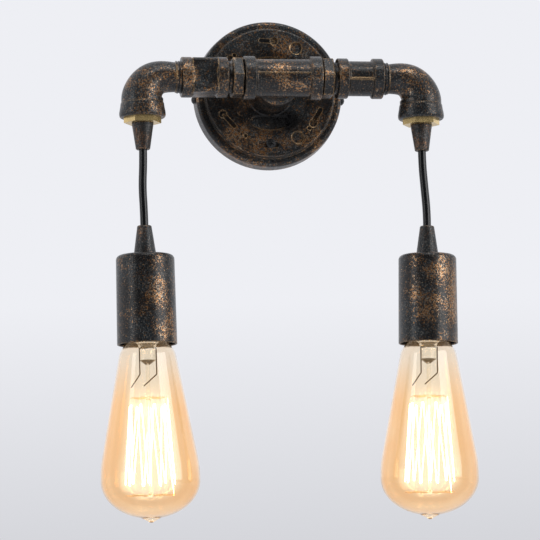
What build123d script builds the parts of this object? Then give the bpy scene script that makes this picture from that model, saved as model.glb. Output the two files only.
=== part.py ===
from build123d import *
import math
import os

# Industrial pipe wall light: a round cast wall plate carries a black pipe tee, an arm of pipe
# fittings runs out to each side, and a lamp cup with a long bulb hangs on a short round cord
# below each elbow.
#
# Millimetres. The origin is the middle of the wall plate's back, on the wall. +X is to the right
# as seen from the room, +Y goes into the wall and +Z is up. "Depth" is a distance off the wall.

os.makedirs("parts", exist_ok=True)

SIDES = {"left": -1, "right": 1}

# ---------------------------------------------------------------------------------------------
# Driving dimensions
# ---------------------------------------------------------------------------------------------

# Wall plate, a casting with an open back
plate_radius = 51.0
plate_draft = 0.8
plate_side = 12.6
plate_wall = 2.4
face_step = 6.5
face_rise = 3.6
face_band = 15.0
hub_thickness = 3.8
dish_slope = 3.5
dish_drop = 2.6
dish_inner_step = 1.0
boss_base_radius = 14.8
boss_tip_radius = 13.2
boss_gap = 3.5
plate_shoulder_round = 3.0
face_foot_round = 0.8
face_edge_round = 1.0
dish_edge_round = 2.5
dish_foot_round = 1.5
boss_foot_round = 1.5
boss_tip_round = 0.8
window_edge = 0.8
window_half_angle = 36.0
window_corner = 1.0
window_depth = 2.2

# Blind marks in the raised face: three keyhole slots, two round pads and three pips. Each is
# placed by its distance in from the face's edge, and pads and pips by an angle as well.
slot_inset = 8.5
slot_first_angle = 101.5
slot_sweep = -17.0
slot_count = 3
slot_width = 3.8
slot_eye_radius = 2.6
mark_depth = 1.3
pad_places = ((8.3, 59.2), (8.7, -58.9))
pad_radius = 4.1
pip_places = ((9.9, -120.5), (8.4, -42.3), (9.2, 133.2))
pip_radius = 1.3

# Wall bracket, a steel strap with an ear at each end
bracket_width = 16.0
bracket_thickness = 1.5
bracket_eye_radius = 15.0
cable_hole_radius = 10.5
wall_slot_spacing = 60.0
wall_slot_length = 10.0
wall_slot_width = 5.0
ear_height = 9.5
ear_gap = 0.3

# Plate screws
side_screw_depth = 6.0
side_screw_drop = 3.4
side_screw_radius = 1.9
side_screw_head_radius = 3.2
side_screw_head_height = 2.0
side_screw_length = 9.0
face_screw_inset = 9.5
face_screw_radius = 1.7
face_screw_head_radius = 3.3
face_screw_head_height = 1.4
face_screw_length = 9.0
screw_gap = 0.15

# Terminal block behind the face
block_length = 24.0
block_height = 9.0
block_depth = 10.2
block_screw_pitch = 5.4
block_screw_offset = 3.8
block_screw_radius = 1.4
block_pocket_radius = 1.6
block_pocket_depth = 3.0
block_screw_height = 2.2
block_corner = 1.0
core_radius = 0.9
core_bend = 1.3
core_depth = 4.8
core_spread = 1.0
core_gap = 0.3

# Pipe fittings of the half inch size
pipe_depth = 68.5
thread_radius = 10.48
thread_gap = 0.10
thread_length = 11.0
thread_bore_depth = 12.0
nipple_bore_radius = 7.9
tee_half = 26.0
tee_body_radius = 12.55
tee_bead_radius = 14.5
tee_bead_width = 7.3
tee_bore_radius = 8.6
parting_height = 1.5
parting_width = 0.5
parting_rise = 0.3
hexagon_flats = 24.5
hexagon_gap = 0.6
hexagon_width = 7.4
hexagon_chamfer = 0.6
coupling_start = 37.0
coupling_length = 30.7
coupling_bead_radius = 13.5
coupling_bead_width = 6.8
coupling_body_radius = 11.7
coupling_block = 23.4
coupling_block_corner = 2.4
coupling_rib_drop = 2.0
coupling_rib_width = 1.2
coupling_rib_rise = 0.8
bead_slope = 0.9
bead_round = 0.7
lock_nut_flats = 26.0
lock_nut_height = 2.4
nipple_proud = 1.0

# Street elbows and what closes them
drop_x = 93.7
elbow_thread_visible = 3.8
elbow_bend = 15.0
elbow_bend_sections = 5
elbow_neck_radius = 9.9
elbow_start_radius = 10.6
elbow_end_radius = 13.9
elbow_bead_radius = 15.4
elbow_bead_top = -18.0
elbow_bottom = -27.5
elbow_bore_radius = 7.0
gland_flats = 21.6
gland_height = 3.5
gland_shank_length = 11.0

# Cord and its grips
cord_radius = 2.7
cord_gap = 0.15
lead_offset = 3.3
lead_tee_bend = 7.6
grip_wide_radius = 7.2
grip_mouth_radius = 4.75
grip_thread_radius = 4.95
grip_round = 0.5
upper_grip_length = 17.8
upper_grip_thread = 9.0
lower_grip_length = 17.7
lower_grip_collar = 1.8
lower_grip_thread = 10.5
cord_end_height = -99.5
# Where each cord bows between its straight ends: offset in X from the elbow's axis, and height
cord_bows = {"left": (-0.8, -74.0), "right": (0.95, -72.0)}
cord_exit_run = 9.0
cord_entry_run = 9.5
cord_end_offset = {"left": 0.1, "right": 2.1}
arc_share = 0.45
# Lean of each hanging lamp as its cord's set leaves it, in degrees, with the lower end towards +X
pendant_lean = {"left": 0.5, "right": -0.95}

# Lamp cup, open below
cup_top_radius = 19.2
cup_rim_radius = 19.7
cup_height = 59.2
cup_wall = 1.1
cup_corner = 3.2
cup_lip_round = 0.5
cup_nut_flats = 13.0
cup_nut_height = 3.5

# Lampholder of the E27 size
holder_top_radius = 10.5
holder_radius = 16.3
holder_shoulder = 9.0
holder_height = 47.6
holder_cavity_radius = 14.2
holder_cavity_depth = 23.8
holder_lead_end = 5.0
shell_inner_radius = 13.5
shell_wall = 0.35
shell_height = 22.0
shell_lip_radius = 7.0
contact_width = 5.0
contact_length = 11.0
contact_thickness = 0.5
contact_bow = 1.0
terminal_radius = 1.3
terminal_height = 1.5
terminal_offset = 9.0

# Bulb, long pear shape with a screw cap. Heights are below the tip of its base contact.
bulb_seat_gap = 0.3
bulb_contact_radius = 4.6
bulb_contact_height = 1.6
bulb_contact_tip_radius = 3.2
bulb_contact_dome = 0.2
bulb_contact_edge = 0.6
cap_insulator_radius = 11.0
cap_insulator_top_radius = 5.4
cap_insulator_height = 4.2
cap_crest_radius = 13.2
cap_root_radius = 12.2
cap_thread_pitch = 3.6
cap_thread_turns = 4
cap_skirt_height = 5.6
cap_skirt_slope = 0.6
cap_inner_slope = 1.0
cap_wall = 0.3
glass_wall = 0.8
glass_in_cap = 2.4
glass_neck_radius = 12.6
glass_neck_below_cap = 0.4
glass_shoulder_length = 10.3
glass_shoulder_radius = 18.8
glass_cone_length = 67.5
glass_cone_radius = 31.4
glass_belly_length = 14.0
glass_belly_radius = 32.4
glass_bowl_height = 24.5
glass_tip_radius = 6.6
glass_tip_length = 3.2
glass_tip_end_radius = 0.8
# Direction in which the glass leaves the neck
glass_neck_flare = (0.6, -1)
stem_flare_radius = 11.2
stem_flare_inset = 2.2
stem_flare_height = 6.0
stem_flare_foot_radius = 6.4
stem_flare_foot_height = 3.0
stem_tube_radius = 5.4
stem_pinch_drop = 40.8
stem_pinch_height = 3.0
stem_rod_radius = 1.3
stem_hub_radius = 2.4
stem_hub_rise = 1.0
stem_hub_run = 1.5
filament_wire_radius = 0.30
filament_top_radius = 12.5
filament_top_below_shoulder = 27.5
filament_low_radius = 17.0
filament_low_above_tip = 17.7
filament_loops = 9
filament_turn_radius = 0.5
support_wire_radius = 0.25
spoke_gap = 0.05
lead_wire_radius = 0.4
lead_wire_spread = 5.5
lead_wire_below_flare = 6.0
lead_kick_drop = 48.7
lead_wire_front = 2.4
lead_wire_bend = 1.2
lead_wire_ends = ((-11.4, 57.3), (-3.0, 56.3))

# ---------------------------------------------------------------------------------------------
# Places worked out from the sizes
# ---------------------------------------------------------------------------------------------

face_depth = plate_side + face_rise
plate_shoulder_radius = plate_radius - plate_draft
face_radius = plate_radius - face_step
dish_radius = face_radius - face_band
dish_floor_radius = dish_radius - dish_slope
window_outer_radius = dish_floor_radius - window_edge
window_inner = boss_base_radius + window_edge
slot_circle = face_radius - slot_inset
face_screw_drop = face_radius - face_screw_inset
dish_floor_depth = face_depth - dish_drop
hub_back_depth = dish_floor_depth - hub_thickness
lock_nut_depth = hub_back_depth - lock_nut_height
nipple_inner_end = lock_nut_depth - nipple_proud
face_screw_tip_depth = face_depth - face_screw_length
wall_inside_ears = plate_radius - plate_draft * ear_height / plate_side - plate_wall
bracket_half = math.sqrt(wall_inside_ears ** 2 - (bracket_width / 2) ** 2) - ear_gap
thread_bore_radius = thread_radius + thread_gap
branch_end_depth = pipe_depth - tee_half
boss_depth = branch_end_depth - boss_gap
coupling_end = coupling_start + coupling_length
elbow_start = coupling_end + elbow_thread_visible
elbow_arc_start = drop_x - elbow_bend
gland_bottom = elbow_bottom - gland_height
cord_start_height = gland_bottom - upper_grip_length
block_back_depth = face_depth - plate_wall - block_depth
block_top = -face_screw_drop + block_height / 2
cup_top = -(lower_grip_length + lower_grip_collar)
cup_rim = cup_top - cup_height
cup_nut_top = cup_top - cup_wall
holder_top = cup_nut_top - cup_nut_height
holder_bottom = holder_top - holder_height
cavity_top = holder_bottom + holder_cavity_depth
bulb_tip = cavity_top - contact_thickness - contact_bow - bulb_seat_gap
cap_drop = bulb_contact_height + cap_insulator_height + cap_thread_turns * cap_thread_pitch + cap_skirt_height
glass_start = cap_drop - glass_in_cap
glass_neck_drop = cap_drop + glass_neck_below_cap
glass_shoulder_drop = glass_neck_drop + glass_shoulder_length
glass_cone_drop = glass_shoulder_drop + glass_cone_length
glass_belly_drop = glass_cone_drop + glass_belly_length
glass_tip_angle = math.degrees(math.acos(glass_tip_radius / glass_belly_radius))
glass_bowl_drop = glass_belly_drop + glass_bowl_height * math.sin(math.radians(glass_tip_angle))
glass_tip_drop = glass_bowl_drop + glass_tip_length
filament_top_drop = glass_shoulder_drop + filament_top_below_shoulder
filament_low_drop = glass_tip_drop - filament_low_above_tip
stem_flare_drop = glass_start + stem_flare_inset
lead_wire_top = stem_flare_drop + lead_wire_below_flare


def wall_plane(depth):
    """A plane parallel to the wall, facing the room, with x to the right and y up."""
    return Plane(origin=(0, -depth, 0), x_dir=(1, 0, 0), z_dir=(0, -1, 0))


# A section through the plate's own axis: x is a radius, y is a depth off the wall
plate_section = Plane(origin=(0, 0, 0), x_dir=(1, 0, 0), z_dir=(0, 0, -1))


def run_plane(side, distance):
    """A plane square to the pipe run, facing outwards, at a distance from the tee's middle."""
    return Plane(origin=(side * distance, -pipe_depth, 0), x_dir=(0, 1, 0), z_dir=(side, 0, 0))


def run_section(side):
    """A section along one arm of the pipe run: x is a distance from the tee, y a radius."""
    return Plane(origin=(0, -pipe_depth, 0), x_dir=(side, 0, 0), z_dir=(0, -side, 0))


def drop_section(side):
    """A section through the axis below an elbow: x is a radius, y is a height."""
    return Plane(origin=(side * drop_x, -pipe_depth, 0), x_dir=(1, 0, 0), z_dir=(0, -1, 0))


def level_plane(side, height):
    """A level plane on the axis below an elbow, facing up."""
    return Plane(origin=(side * drop_x, -pipe_depth, height), x_dir=(1, 0, 0), z_dir=(0, 0, 1))


def pendant_section(name):
    """A section through a hanging lamp, from the mouth of its cord grip: y is up its axis."""
    lean = math.radians(pendant_lean[name])
    mouth = (SIDES[name] * drop_x + cord_end_offset[name], -pipe_depth, cord_end_height)
    return Plane(origin=mouth, x_dir=(math.cos(lean), 0, math.sin(lean)), z_dir=(0, -1, 0))


def pendant_level(name, height):
    """A plane square to a hanging lamp's axis, at a height from the mouth of its cord grip."""
    section = pendant_section(name)
    return Plane(origin=section.from_local_coords((0, height, 0)), x_dir=section.x_dir, z_dir=section.y_dir)


def turned(section, outline):
    """A piece turned about its section's y axis, from its closed outline of (radius, height)."""
    with BuildPart() as piece:
        with BuildSketch(section):
            with BuildLine():
                Polyline(outline, close=True)
            make_face()
        revolve(axis=Axis(section.origin, section.y_dir))
    return piece


def hexagon_nut(plane, flats, height, bore_radius):
    """A plain hexagon nut that stands on a plane."""
    with BuildPart() as nut:
        with BuildSketch(plane):
            RegularPolygon(flats / 2, 6, major_radius=False)
            Circle(bore_radius, mode=Mode.SUBTRACT)
        extrude(amount=height)
    return nut


def corner_radii(points):
    """The largest arc that each corner of a cord's route has room for."""
    radii = []
    for before, corner, after in zip(points, points[1:], points[2:]):
        run_in = Vector(*corner) - Vector(*before)
        run_out = Vector(*after) - Vector(*corner)
        half_turn = math.radians(run_in.get_angle(run_out)) / 2
        radii.append(arc_share * min(run_in.length, run_out.length) / math.tan(half_turn))
    return radii


def round_tube(points, radius, bends):
    """A round cord or wire along straight runs joined by tangent arcs."""
    with BuildPart() as tube:
        with BuildLine() as route:
            FilletPolyline(points, radius=bends)
        with BuildSketch(Plane(origin=route.line @ 0, z_dir=route.line % 0)):
            Circle(radius)
        sweep(path=route.line)
    return tube


def keep(piece, name):
    """Label a finished piece and write it out."""
    piece.part.label = name
    export_step(piece.part, f"parts/{name}.step")


# ---------------------------------------------------------------------------------------------
# Wall bracket
# ---------------------------------------------------------------------------------------------

with BuildPart() as wall_bracket:
    with BuildSketch(wall_plane(0)):
        Rectangle(2 * bracket_half, bracket_width)
        Circle(bracket_eye_radius)
        Circle(cable_hole_radius, mode=Mode.SUBTRACT)
        with GridLocations(wall_slot_spacing, 0, 2, 1):
            SlotOverall(wall_slot_length, wall_slot_width, mode=Mode.SUBTRACT)
    extrude(amount=bracket_thickness)
    with BuildSketch(wall_plane(0)):
        with GridLocations(2 * bracket_half - bracket_thickness, 0, 2, 1):
            Rectangle(bracket_thickness, bracket_width)
    extrude(amount=ear_height)
    with BuildSketch(Plane.YZ):
        with Locations((-side_screw_depth, -side_screw_drop)):
            Circle(side_screw_radius + screw_gap)
    extrude(amount=plate_radius, both=True, mode=Mode.SUBTRACT)
keep(wall_bracket, "wall_bracket")

# ---------------------------------------------------------------------------------------------
# Wall plate
# ---------------------------------------------------------------------------------------------


def face_point(inset, angle):
    """A point on the raised face, in from its edge and at an angle from +X."""
    turn = math.radians(angle)
    return ((face_radius - inset) * math.cos(turn), (face_radius - inset) * math.sin(turn))


inner_side_radius = plate_radius - plate_wall
inner_shoulder_radius = plate_shoulder_radius - plate_wall
inner_face_radius = face_radius - plate_wall

# What the windows take out: their floors slope down from one end, and stay closed behind
half_window = math.radians(window_half_angle)
window_inner_half = window_inner * math.tan(half_window)
window_outer_half = window_outer_radius * math.sin(half_window)
window_outer_level = window_outer_radius * math.cos(half_window)
with BuildPart() as window_pocket:
    with BuildSketch(wall_plane(face_depth)) as window_outline:
        with BuildLine():
            Polyline(
                (-window_outer_half, -window_outer_level),
                (-window_inner_half, -window_inner),
                (window_inner_half, -window_inner),
                (window_outer_half, -window_outer_level),
            )
            ThreePointArc(
                (window_outer_half, -window_outer_level),
                (0, -window_outer_radius),
                (-window_outer_half, -window_outer_level),
            )
        make_face()
        fillet(window_outline.vertices(), window_corner)
    extrude(amount=-(dish_drop + window_depth))
    slope = Plane(
        origin=(-window_outer_half, -dish_floor_depth, 0),
        x_dir=(2 * window_outer_half, window_depth, 0),
        z_dir=(window_depth, -2 * window_outer_half, 0),
    )
    split(bisect_by=slope, keep=Keep.TOP)

with BuildPart() as wall_plate:
    with BuildSketch(plate_section):
        with BuildLine():
            FilletPolyline(
                (plate_radius, 0),
                (plate_shoulder_radius, plate_side),
                (face_radius, plate_side),
                (face_radius, face_depth),
                (dish_radius, face_depth),
                (dish_floor_radius, dish_floor_depth),
                (boss_base_radius, dish_floor_depth),
                (boss_tip_radius, boss_depth),
                (thread_bore_radius, boss_depth),
                radius=(
                    plate_shoulder_round,
                    face_foot_round,
                    face_edge_round,
                    dish_edge_round,
                    dish_foot_round,
                    boss_foot_round,
                    boss_tip_round,
                ),
            )
            Polyline(
                (thread_bore_radius, boss_depth),
                (thread_bore_radius, hub_back_depth),
                (dish_floor_radius - dish_inner_step, hub_back_depth),
                (dish_radius - dish_inner_step, face_depth - plate_wall),
                (inner_face_radius, face_depth - plate_wall),
                (inner_face_radius, plate_side - plate_wall),
                (inner_shoulder_radius, plate_side - plate_wall),
                (inner_side_radius, 0),
                (plate_radius, 0),
            )
        make_face()
    revolve(axis=Axis.Y)
    # Two blind windows in the dish floor, below and above the boss
    for turn in (0, 180):
        add(window_pocket.part.rotate(Axis.Y, turn), mode=Mode.SUBTRACT)
    # Blind marks in the raised face
    with BuildSketch(wall_plane(face_depth)):
        for turn in range(slot_count):
            start = slot_first_angle + turn * 360 / slot_count
            middle = CenterArc((0, 0), slot_circle, start, slot_sweep, mode=Mode.PRIVATE)
            SlotArc(middle, slot_width)
            with Locations(face_point(slot_inset, start + slot_sweep)):
                Circle(slot_eye_radius)
        with Locations(*[face_point(inset, angle) for inset, angle in pad_places]):
            Circle(pad_radius)
        with Locations(*[face_point(inset, angle) for inset, angle in pip_places]):
            Circle(pip_radius)
    extrude(amount=-mark_depth, mode=Mode.SUBTRACT)
    # Screw holes: one through the face, one through each side
    with BuildSketch(wall_plane(0)):
        with Locations((0, -face_screw_drop)):
            Circle(face_screw_radius + screw_gap)
    extrude(amount=face_depth, mode=Mode.SUBTRACT)
    with BuildSketch(Plane.YZ):
        with Locations((-side_screw_depth, -side_screw_drop)):
            Circle(side_screw_radius + screw_gap)
    extrude(amount=plate_radius, both=True, mode=Mode.SUBTRACT)
keep(wall_plate, "wall_plate")

# ---------------------------------------------------------------------------------------------
# Plate screws
# ---------------------------------------------------------------------------------------------


def domed_screw(section, seat, head_radius, head_height, shank_radius, tip):
    """A round-headed screw along its section's y axis, with its head from the seat outwards."""
    dome_radius = (head_radius ** 2 + head_height ** 2) / (2 * head_height)
    half_angle = math.degrees(math.asin(head_radius / dome_radius))
    with BuildPart() as screw:
        with BuildSketch(section):
            with BuildLine():
                dome = CenterArc((0, seat + head_height - dome_radius), dome_radius, 90 - half_angle, half_angle)
                Polyline(
                    dome @ 1, (0, tip), (shank_radius, tip), (shank_radius, seat), dome @ 0
                )
            make_face()
        revolve(axis=Axis(section.origin, section.y_dir))
    return screw


side_screws = []
for side in SIDES.values():
    screw_axis = Plane(
        origin=(0, -side_screw_depth, -side_screw_drop), x_dir=(0, 0, 1), z_dir=(0, side, 0)
    )
    side_screws.append(
        domed_screw(
            screw_axis,
            plate_radius,
            side_screw_head_radius,
            side_screw_head_height,
            side_screw_radius,
            plate_radius - side_screw_length,
        ).part
    )
with BuildPart() as side_screw_pair:
    add(side_screws)
keep(side_screw_pair, "side_screws")

face_screw_section = Plane(origin=(0, 0, -face_screw_drop), x_dir=(1, 0, 0), z_dir=(0, 0, -1))
face_screw = domed_screw(
    face_screw_section,
    face_depth,
    face_screw_head_radius,
    face_screw_head_height,
    face_screw_radius,
    face_screw_tip_depth,
)
keep(face_screw, "face_screw")

# ---------------------------------------------------------------------------------------------
# Terminal block and its screws, behind the face
# ---------------------------------------------------------------------------------------------

block_screw_places = [
    (side * (block_screw_offset + step * block_screw_pitch), -face_screw_drop)
    for side in SIDES.values()
    for step in (0, 1)
]

with BuildPart() as terminal_block:
    with BuildSketch(wall_plane(block_back_depth)):
        with Locations((0, -face_screw_drop)):
            RectangleRounded(block_length, block_height, block_corner)
            Circle(face_screw_radius + screw_gap, mode=Mode.SUBTRACT)
    extrude(amount=block_depth)
    with BuildSketch(wall_plane(block_back_depth)):
        with Locations(*block_screw_places):
            Circle(block_pocket_radius)
    extrude(amount=block_pocket_depth, mode=Mode.SUBTRACT)
keep(terminal_block, "terminal_block")

with BuildPart() as terminal_screws:
    with BuildSketch(wall_plane(block_back_depth + block_pocket_depth)):
        with Locations(*block_screw_places):
            Circle(block_screw_radius)
    extrude(amount=-block_screw_height)
keep(terminal_screws, "terminal_screws")

# ---------------------------------------------------------------------------------------------
# Nipple and lock nut that hold the tee to the plate
# ---------------------------------------------------------------------------------------------

with BuildPart() as plate_nipple:
    with BuildSketch(wall_plane(nipple_inner_end)):
        Circle(thread_radius)
        Circle(nipple_bore_radius, mode=Mode.SUBTRACT)
    extrude(amount=branch_end_depth + thread_length - nipple_inner_end)
keep(plate_nipple, "plate_nipple")

keep(hexagon_nut(wall_plane(lock_nut_depth), lock_nut_flats, lock_nut_height, thread_bore_radius), "plate_lock_nut")

# ---------------------------------------------------------------------------------------------
# Tee
# ---------------------------------------------------------------------------------------------

tee_bead_start = tee_half - tee_bead_width

with BuildPart() as tee:
    with BuildSketch(run_section(1)):
        with BuildLine():
            FilletPolyline(
                (-tee_half, 0),
                (-tee_half, tee_bead_radius),
                (-tee_bead_start, tee_bead_radius),
                (-tee_bead_start + bead_slope, tee_body_radius),
                (tee_bead_start - bead_slope, tee_body_radius),
                (tee_bead_start, tee_bead_radius),
                (tee_half, tee_bead_radius),
                (tee_half, 0),
                radius=(bead_round, bead_round, bead_slope, bead_slope, bead_round, bead_round),
            )
            Line((tee_half, 0), (-tee_half, 0))
        make_face()
    revolve(axis=Axis((0, -pipe_depth, 0), (1, 0, 0)))
    with BuildSketch(plate_section):
        with BuildLine():
            FilletPolyline(
                (0, branch_end_depth),
                (tee_bead_radius, branch_end_depth),
                (tee_bead_radius, branch_end_depth + tee_bead_width),
                (tee_body_radius, branch_end_depth + tee_bead_width + bead_slope),
                (tee_body_radius, pipe_depth),
                radius=(bead_round, bead_round, bead_slope),
            )
            Polyline((tee_body_radius, pipe_depth), (0, pipe_depth), (0, branch_end_depth))
        make_face()
    revolve(axis=Axis.Y)
    # Thin parting ridge of the casting along the front
    with Locations((0, -(pipe_depth + tee_body_radius), parting_height)):
        Box(2 * tee_bead_start, 2 * parting_rise, parting_width)
    # Threaded ends, and the bore between them
    for side in SIDES.values():
        with BuildSketch(run_plane(side, tee_half)):
            Circle(thread_bore_radius)
        extrude(amount=-thread_bore_depth, mode=Mode.SUBTRACT)
    with BuildSketch(run_plane(1, tee_half)):
        Circle(tee_bore_radius)
    extrude(amount=-2 * tee_half, mode=Mode.SUBTRACT)
    with BuildSketch(wall_plane(branch_end_depth)):
        Circle(thread_bore_radius)
    extrude(amount=thread_bore_depth, mode=Mode.SUBTRACT)
    with BuildSketch(wall_plane(branch_end_depth)):
        Circle(tee_bore_radius)
    extrude(amount=tee_half, mode=Mode.SUBTRACT)
keep(tee, "tee")

# ---------------------------------------------------------------------------------------------
# The arms: hexagon nipple, coupling, elbow, gland nut and upper cord grip on each side
# ---------------------------------------------------------------------------------------------


def hexagon_nipple(side):
    """Two male threads with a hexagon between them, a corner of it to the front."""
    hexagon_start = tee_half + hexagon_gap
    with BuildPart() as nipple:
        with BuildSketch(run_plane(side, hexagon_start)):
            RegularPolygon(hexagon_flats / 2, 6, major_radius=False)
        extrude(amount=hexagon_width)
        chamfer(nipple.faces().filter_by(Axis.X).edges(), hexagon_chamfer)
        with BuildSketch(run_plane(side, tee_half - thread_length)):
            Circle(thread_radius)
        extrude(amount=coupling_start + 2 * thread_length - tee_half)
        with BuildSketch(run_plane(side, tee_half - thread_length)):
            Circle(nipple_bore_radius)
        extrude(amount=coupling_start + 2 * thread_length - tee_half, mode=Mode.SUBTRACT)
    return nipple


def coupling_body(side):
    """A straight coupling with a bead at each end, threaded right through."""
    inner_bead_end = coupling_start + coupling_bead_width
    outer_bead_start = coupling_end - coupling_bead_width
    with BuildPart() as coupling:
        with BuildSketch(run_section(side)):
            with BuildLine():
                FilletPolyline(
                    (coupling_start, thread_bore_radius),
                    (coupling_start, coupling_bead_radius),
                    (inner_bead_end, coupling_bead_radius),
                    (inner_bead_end + bead_slope, coupling_body_radius),
                    (outer_bead_start - bead_slope, coupling_body_radius),
                    (outer_bead_start, coupling_bead_radius),
                    (coupling_end, coupling_bead_radius),
                    (coupling_end, thread_bore_radius),
                    radius=(bead_round, bead_round, bead_slope, bead_slope, bead_round, bead_round),
                )
                Line((coupling_end, thread_bore_radius), (coupling_start, thread_bore_radius))
            make_face()
        revolve(axis=Axis((0, -pipe_depth, 0), (1, 0, 0)))
    return coupling


def blocky_coupling(side):
    """The left coupling: its middle is squared off, with flat panels."""
    body = coupling_body(side)
    with BuildPart() as coupling:
        add(body.part)
        with BuildSketch(run_plane(side, coupling_start + coupling_bead_width)):
            RectangleRounded(coupling_block, coupling_block, coupling_block_corner)
            Circle(thread_bore_radius, mode=Mode.SUBTRACT)
        extrude(amount=coupling_length - 2 * coupling_bead_width)
    return coupling


def ribbed_coupling(side):
    """The right coupling: its middle is round, with a rib along the front."""
    body = coupling_body(side)
    rib_length = coupling_length - 2 * coupling_bead_width
    rib_reach = coupling_body_radius + coupling_rib_rise
    with BuildPart() as coupling:
        add(body.part)
        with BuildSketch(wall_plane(pipe_depth)):
            with Locations((side * (coupling_start + coupling_length / 2), -coupling_rib_drop)):
                Rectangle(rib_length, coupling_rib_width)
        extrude(amount=rib_reach)
        with BuildSketch(run_plane(side, coupling_start)):
            Circle(thread_bore_radius)
        extrude(amount=coupling_length, mode=Mode.SUBTRACT)
    return coupling


def elbow_plane(side, angle):
    """A plane square to the elbow's bend, at an angle from where the bend starts."""
    turn = math.radians(angle)
    return Plane(
        origin=(
            side * (elbow_arc_start + elbow_bend * math.sin(turn)),
            -pipe_depth,
            -elbow_bend * (1 - math.cos(turn)),
        ),
        x_dir=(0, 1, 0),
        z_dir=(side * math.cos(turn), 0, -math.sin(turn)),
    )


def street_elbow(side):
    """An elbow with a male end in the coupling and a wider beaded end below."""
    with BuildPart() as elbow:
        with BuildSketch(run_plane(side, elbow_start)):
            Circle(elbow_neck_radius)
        for section in range(elbow_bend_sections):
            share = section / (elbow_bend_sections - 1)
            with BuildSketch(elbow_plane(side, 90 * share)):
                Circle(elbow_start_radius + share * (elbow_end_radius - elbow_start_radius))
        loft()
        with BuildSketch(run_plane(side, coupling_end - thread_length)):
            Circle(thread_radius)
        extrude(amount=thread_length + elbow_thread_visible)
        with BuildSketch(drop_section(side)):
            with BuildLine():
                FilletPolyline(
                    (0, -elbow_bend),
                    (elbow_end_radius, -elbow_bend),
                    (elbow_end_radius, elbow_bead_top + bead_slope),
                    (elbow_bead_radius, elbow_bead_top),
                    (elbow_bead_radius, elbow_bottom),
                    (0, elbow_bottom),
                    radius=(0, bead_slope, bead_round, bead_round),
                )
                Line((0, elbow_bottom), (0, -elbow_bend))
            make_face()
        revolve(axis=Axis((side * drop_x, -pipe_depth, 0), (0, 0, 1)))
        # The bore follows the bend, and the lower end is threaded inside
        with BuildLine() as bore_line:
            FilletPolyline(
                (side * (coupling_end - thread_length), -pipe_depth, 0),
                (side * drop_x, -pipe_depth, 0),
                (side * drop_x, -pipe_depth, elbow_bottom),
                radius=elbow_bend,
            )
        with BuildSketch(run_plane(side, coupling_end - thread_length)):
            Circle(elbow_bore_radius)
        sweep(path=bore_line.line, mode=Mode.SUBTRACT)
        with BuildSketch(level_plane(side, elbow_bottom)):
            Circle(thread_bore_radius)
        extrude(amount=thread_bore_depth, mode=Mode.SUBTRACT)
    return elbow


def gland_nut(side):
    """A brass hexagon bush that closes the elbow and holds the cord grip."""
    with BuildPart() as nut:
        with BuildSketch(level_plane(side, gland_bottom)):
            RegularPolygon(gland_flats / 2, 6, major_radius=False)
        extrude(amount=gland_height)
        with BuildSketch(level_plane(side, elbow_bottom)):
            Circle(thread_radius)
        extrude(amount=gland_shank_length)
        with BuildSketch(level_plane(side, gland_bottom)):
            Circle(grip_thread_radius + thread_gap)
        extrude(amount=gland_height + gland_shank_length, mode=Mode.SUBTRACT)
    return nut


def upper_grip(side):
    """The cone that clamps the cord as it leaves the elbow."""
    bore = cord_radius + cord_gap
    return turned(
        drop_section(side),
        [
            (bore, gland_bottom + upper_grip_thread),
            (grip_thread_radius, gland_bottom + upper_grip_thread),
            (grip_thread_radius, gland_bottom),
            (grip_wide_radius, gland_bottom),
            (grip_wide_radius, gland_bottom - grip_round),
            (grip_mouth_radius, cord_start_height + grip_round),
            (grip_mouth_radius - grip_round, cord_start_height),
            (bore, cord_start_height),
        ],
    )


def inner_lead(side):
    """The cord's run inside the pipes, from the plate nipple to the mouth of the upper grip."""
    route = [
        (side * lead_offset, -nipple_inner_end, 0),
        (side * lead_offset, -pipe_depth, 0),
        (side * drop_x, -pipe_depth, 0),
        (side * drop_x, -pipe_depth, cord_start_height),
    ]
    return round_tube(route, cord_radius, (lead_tee_bend, elbow_bend))


for name, side in SIDES.items():
    keep(hexagon_nipple(side), f"{name}_hexagon_nipple")
    keep(street_elbow(side), f"{name}_elbow")
    keep(gland_nut(side), f"{name}_gland_nut")
    keep(upper_grip(side), f"{name}_upper_grip")
    keep(inner_lead(side), f"{name}_inner_lead")
keep(blocky_coupling(SIDES["left"]), "left_coupling")
keep(ribbed_coupling(SIDES["right"]), "right_coupling")

# ---------------------------------------------------------------------------------------------
# Insulated cores from the two leads to the terminal block
# ---------------------------------------------------------------------------------------------

with BuildPart() as supply_cores:
    for side in SIDES.values():
        for step, (x_place, _) in enumerate(block_screw_places[:2]):
            x_start = side * (lead_offset + (2 * step - 1) * core_spread)
            x_end = side * abs(x_place)
            core = round_tube(
                [
                    (x_start, -nipple_inner_end, 0),
                    (x_start, -core_depth, 0),
                    (x_end, -core_depth, block_top + core_gap),
                ],
                core_radius,
                core_bend,
            )
            add(core.part)
keep(supply_cores, "supply_cores")

# ---------------------------------------------------------------------------------------------
# Cords
# ---------------------------------------------------------------------------------------------

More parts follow.
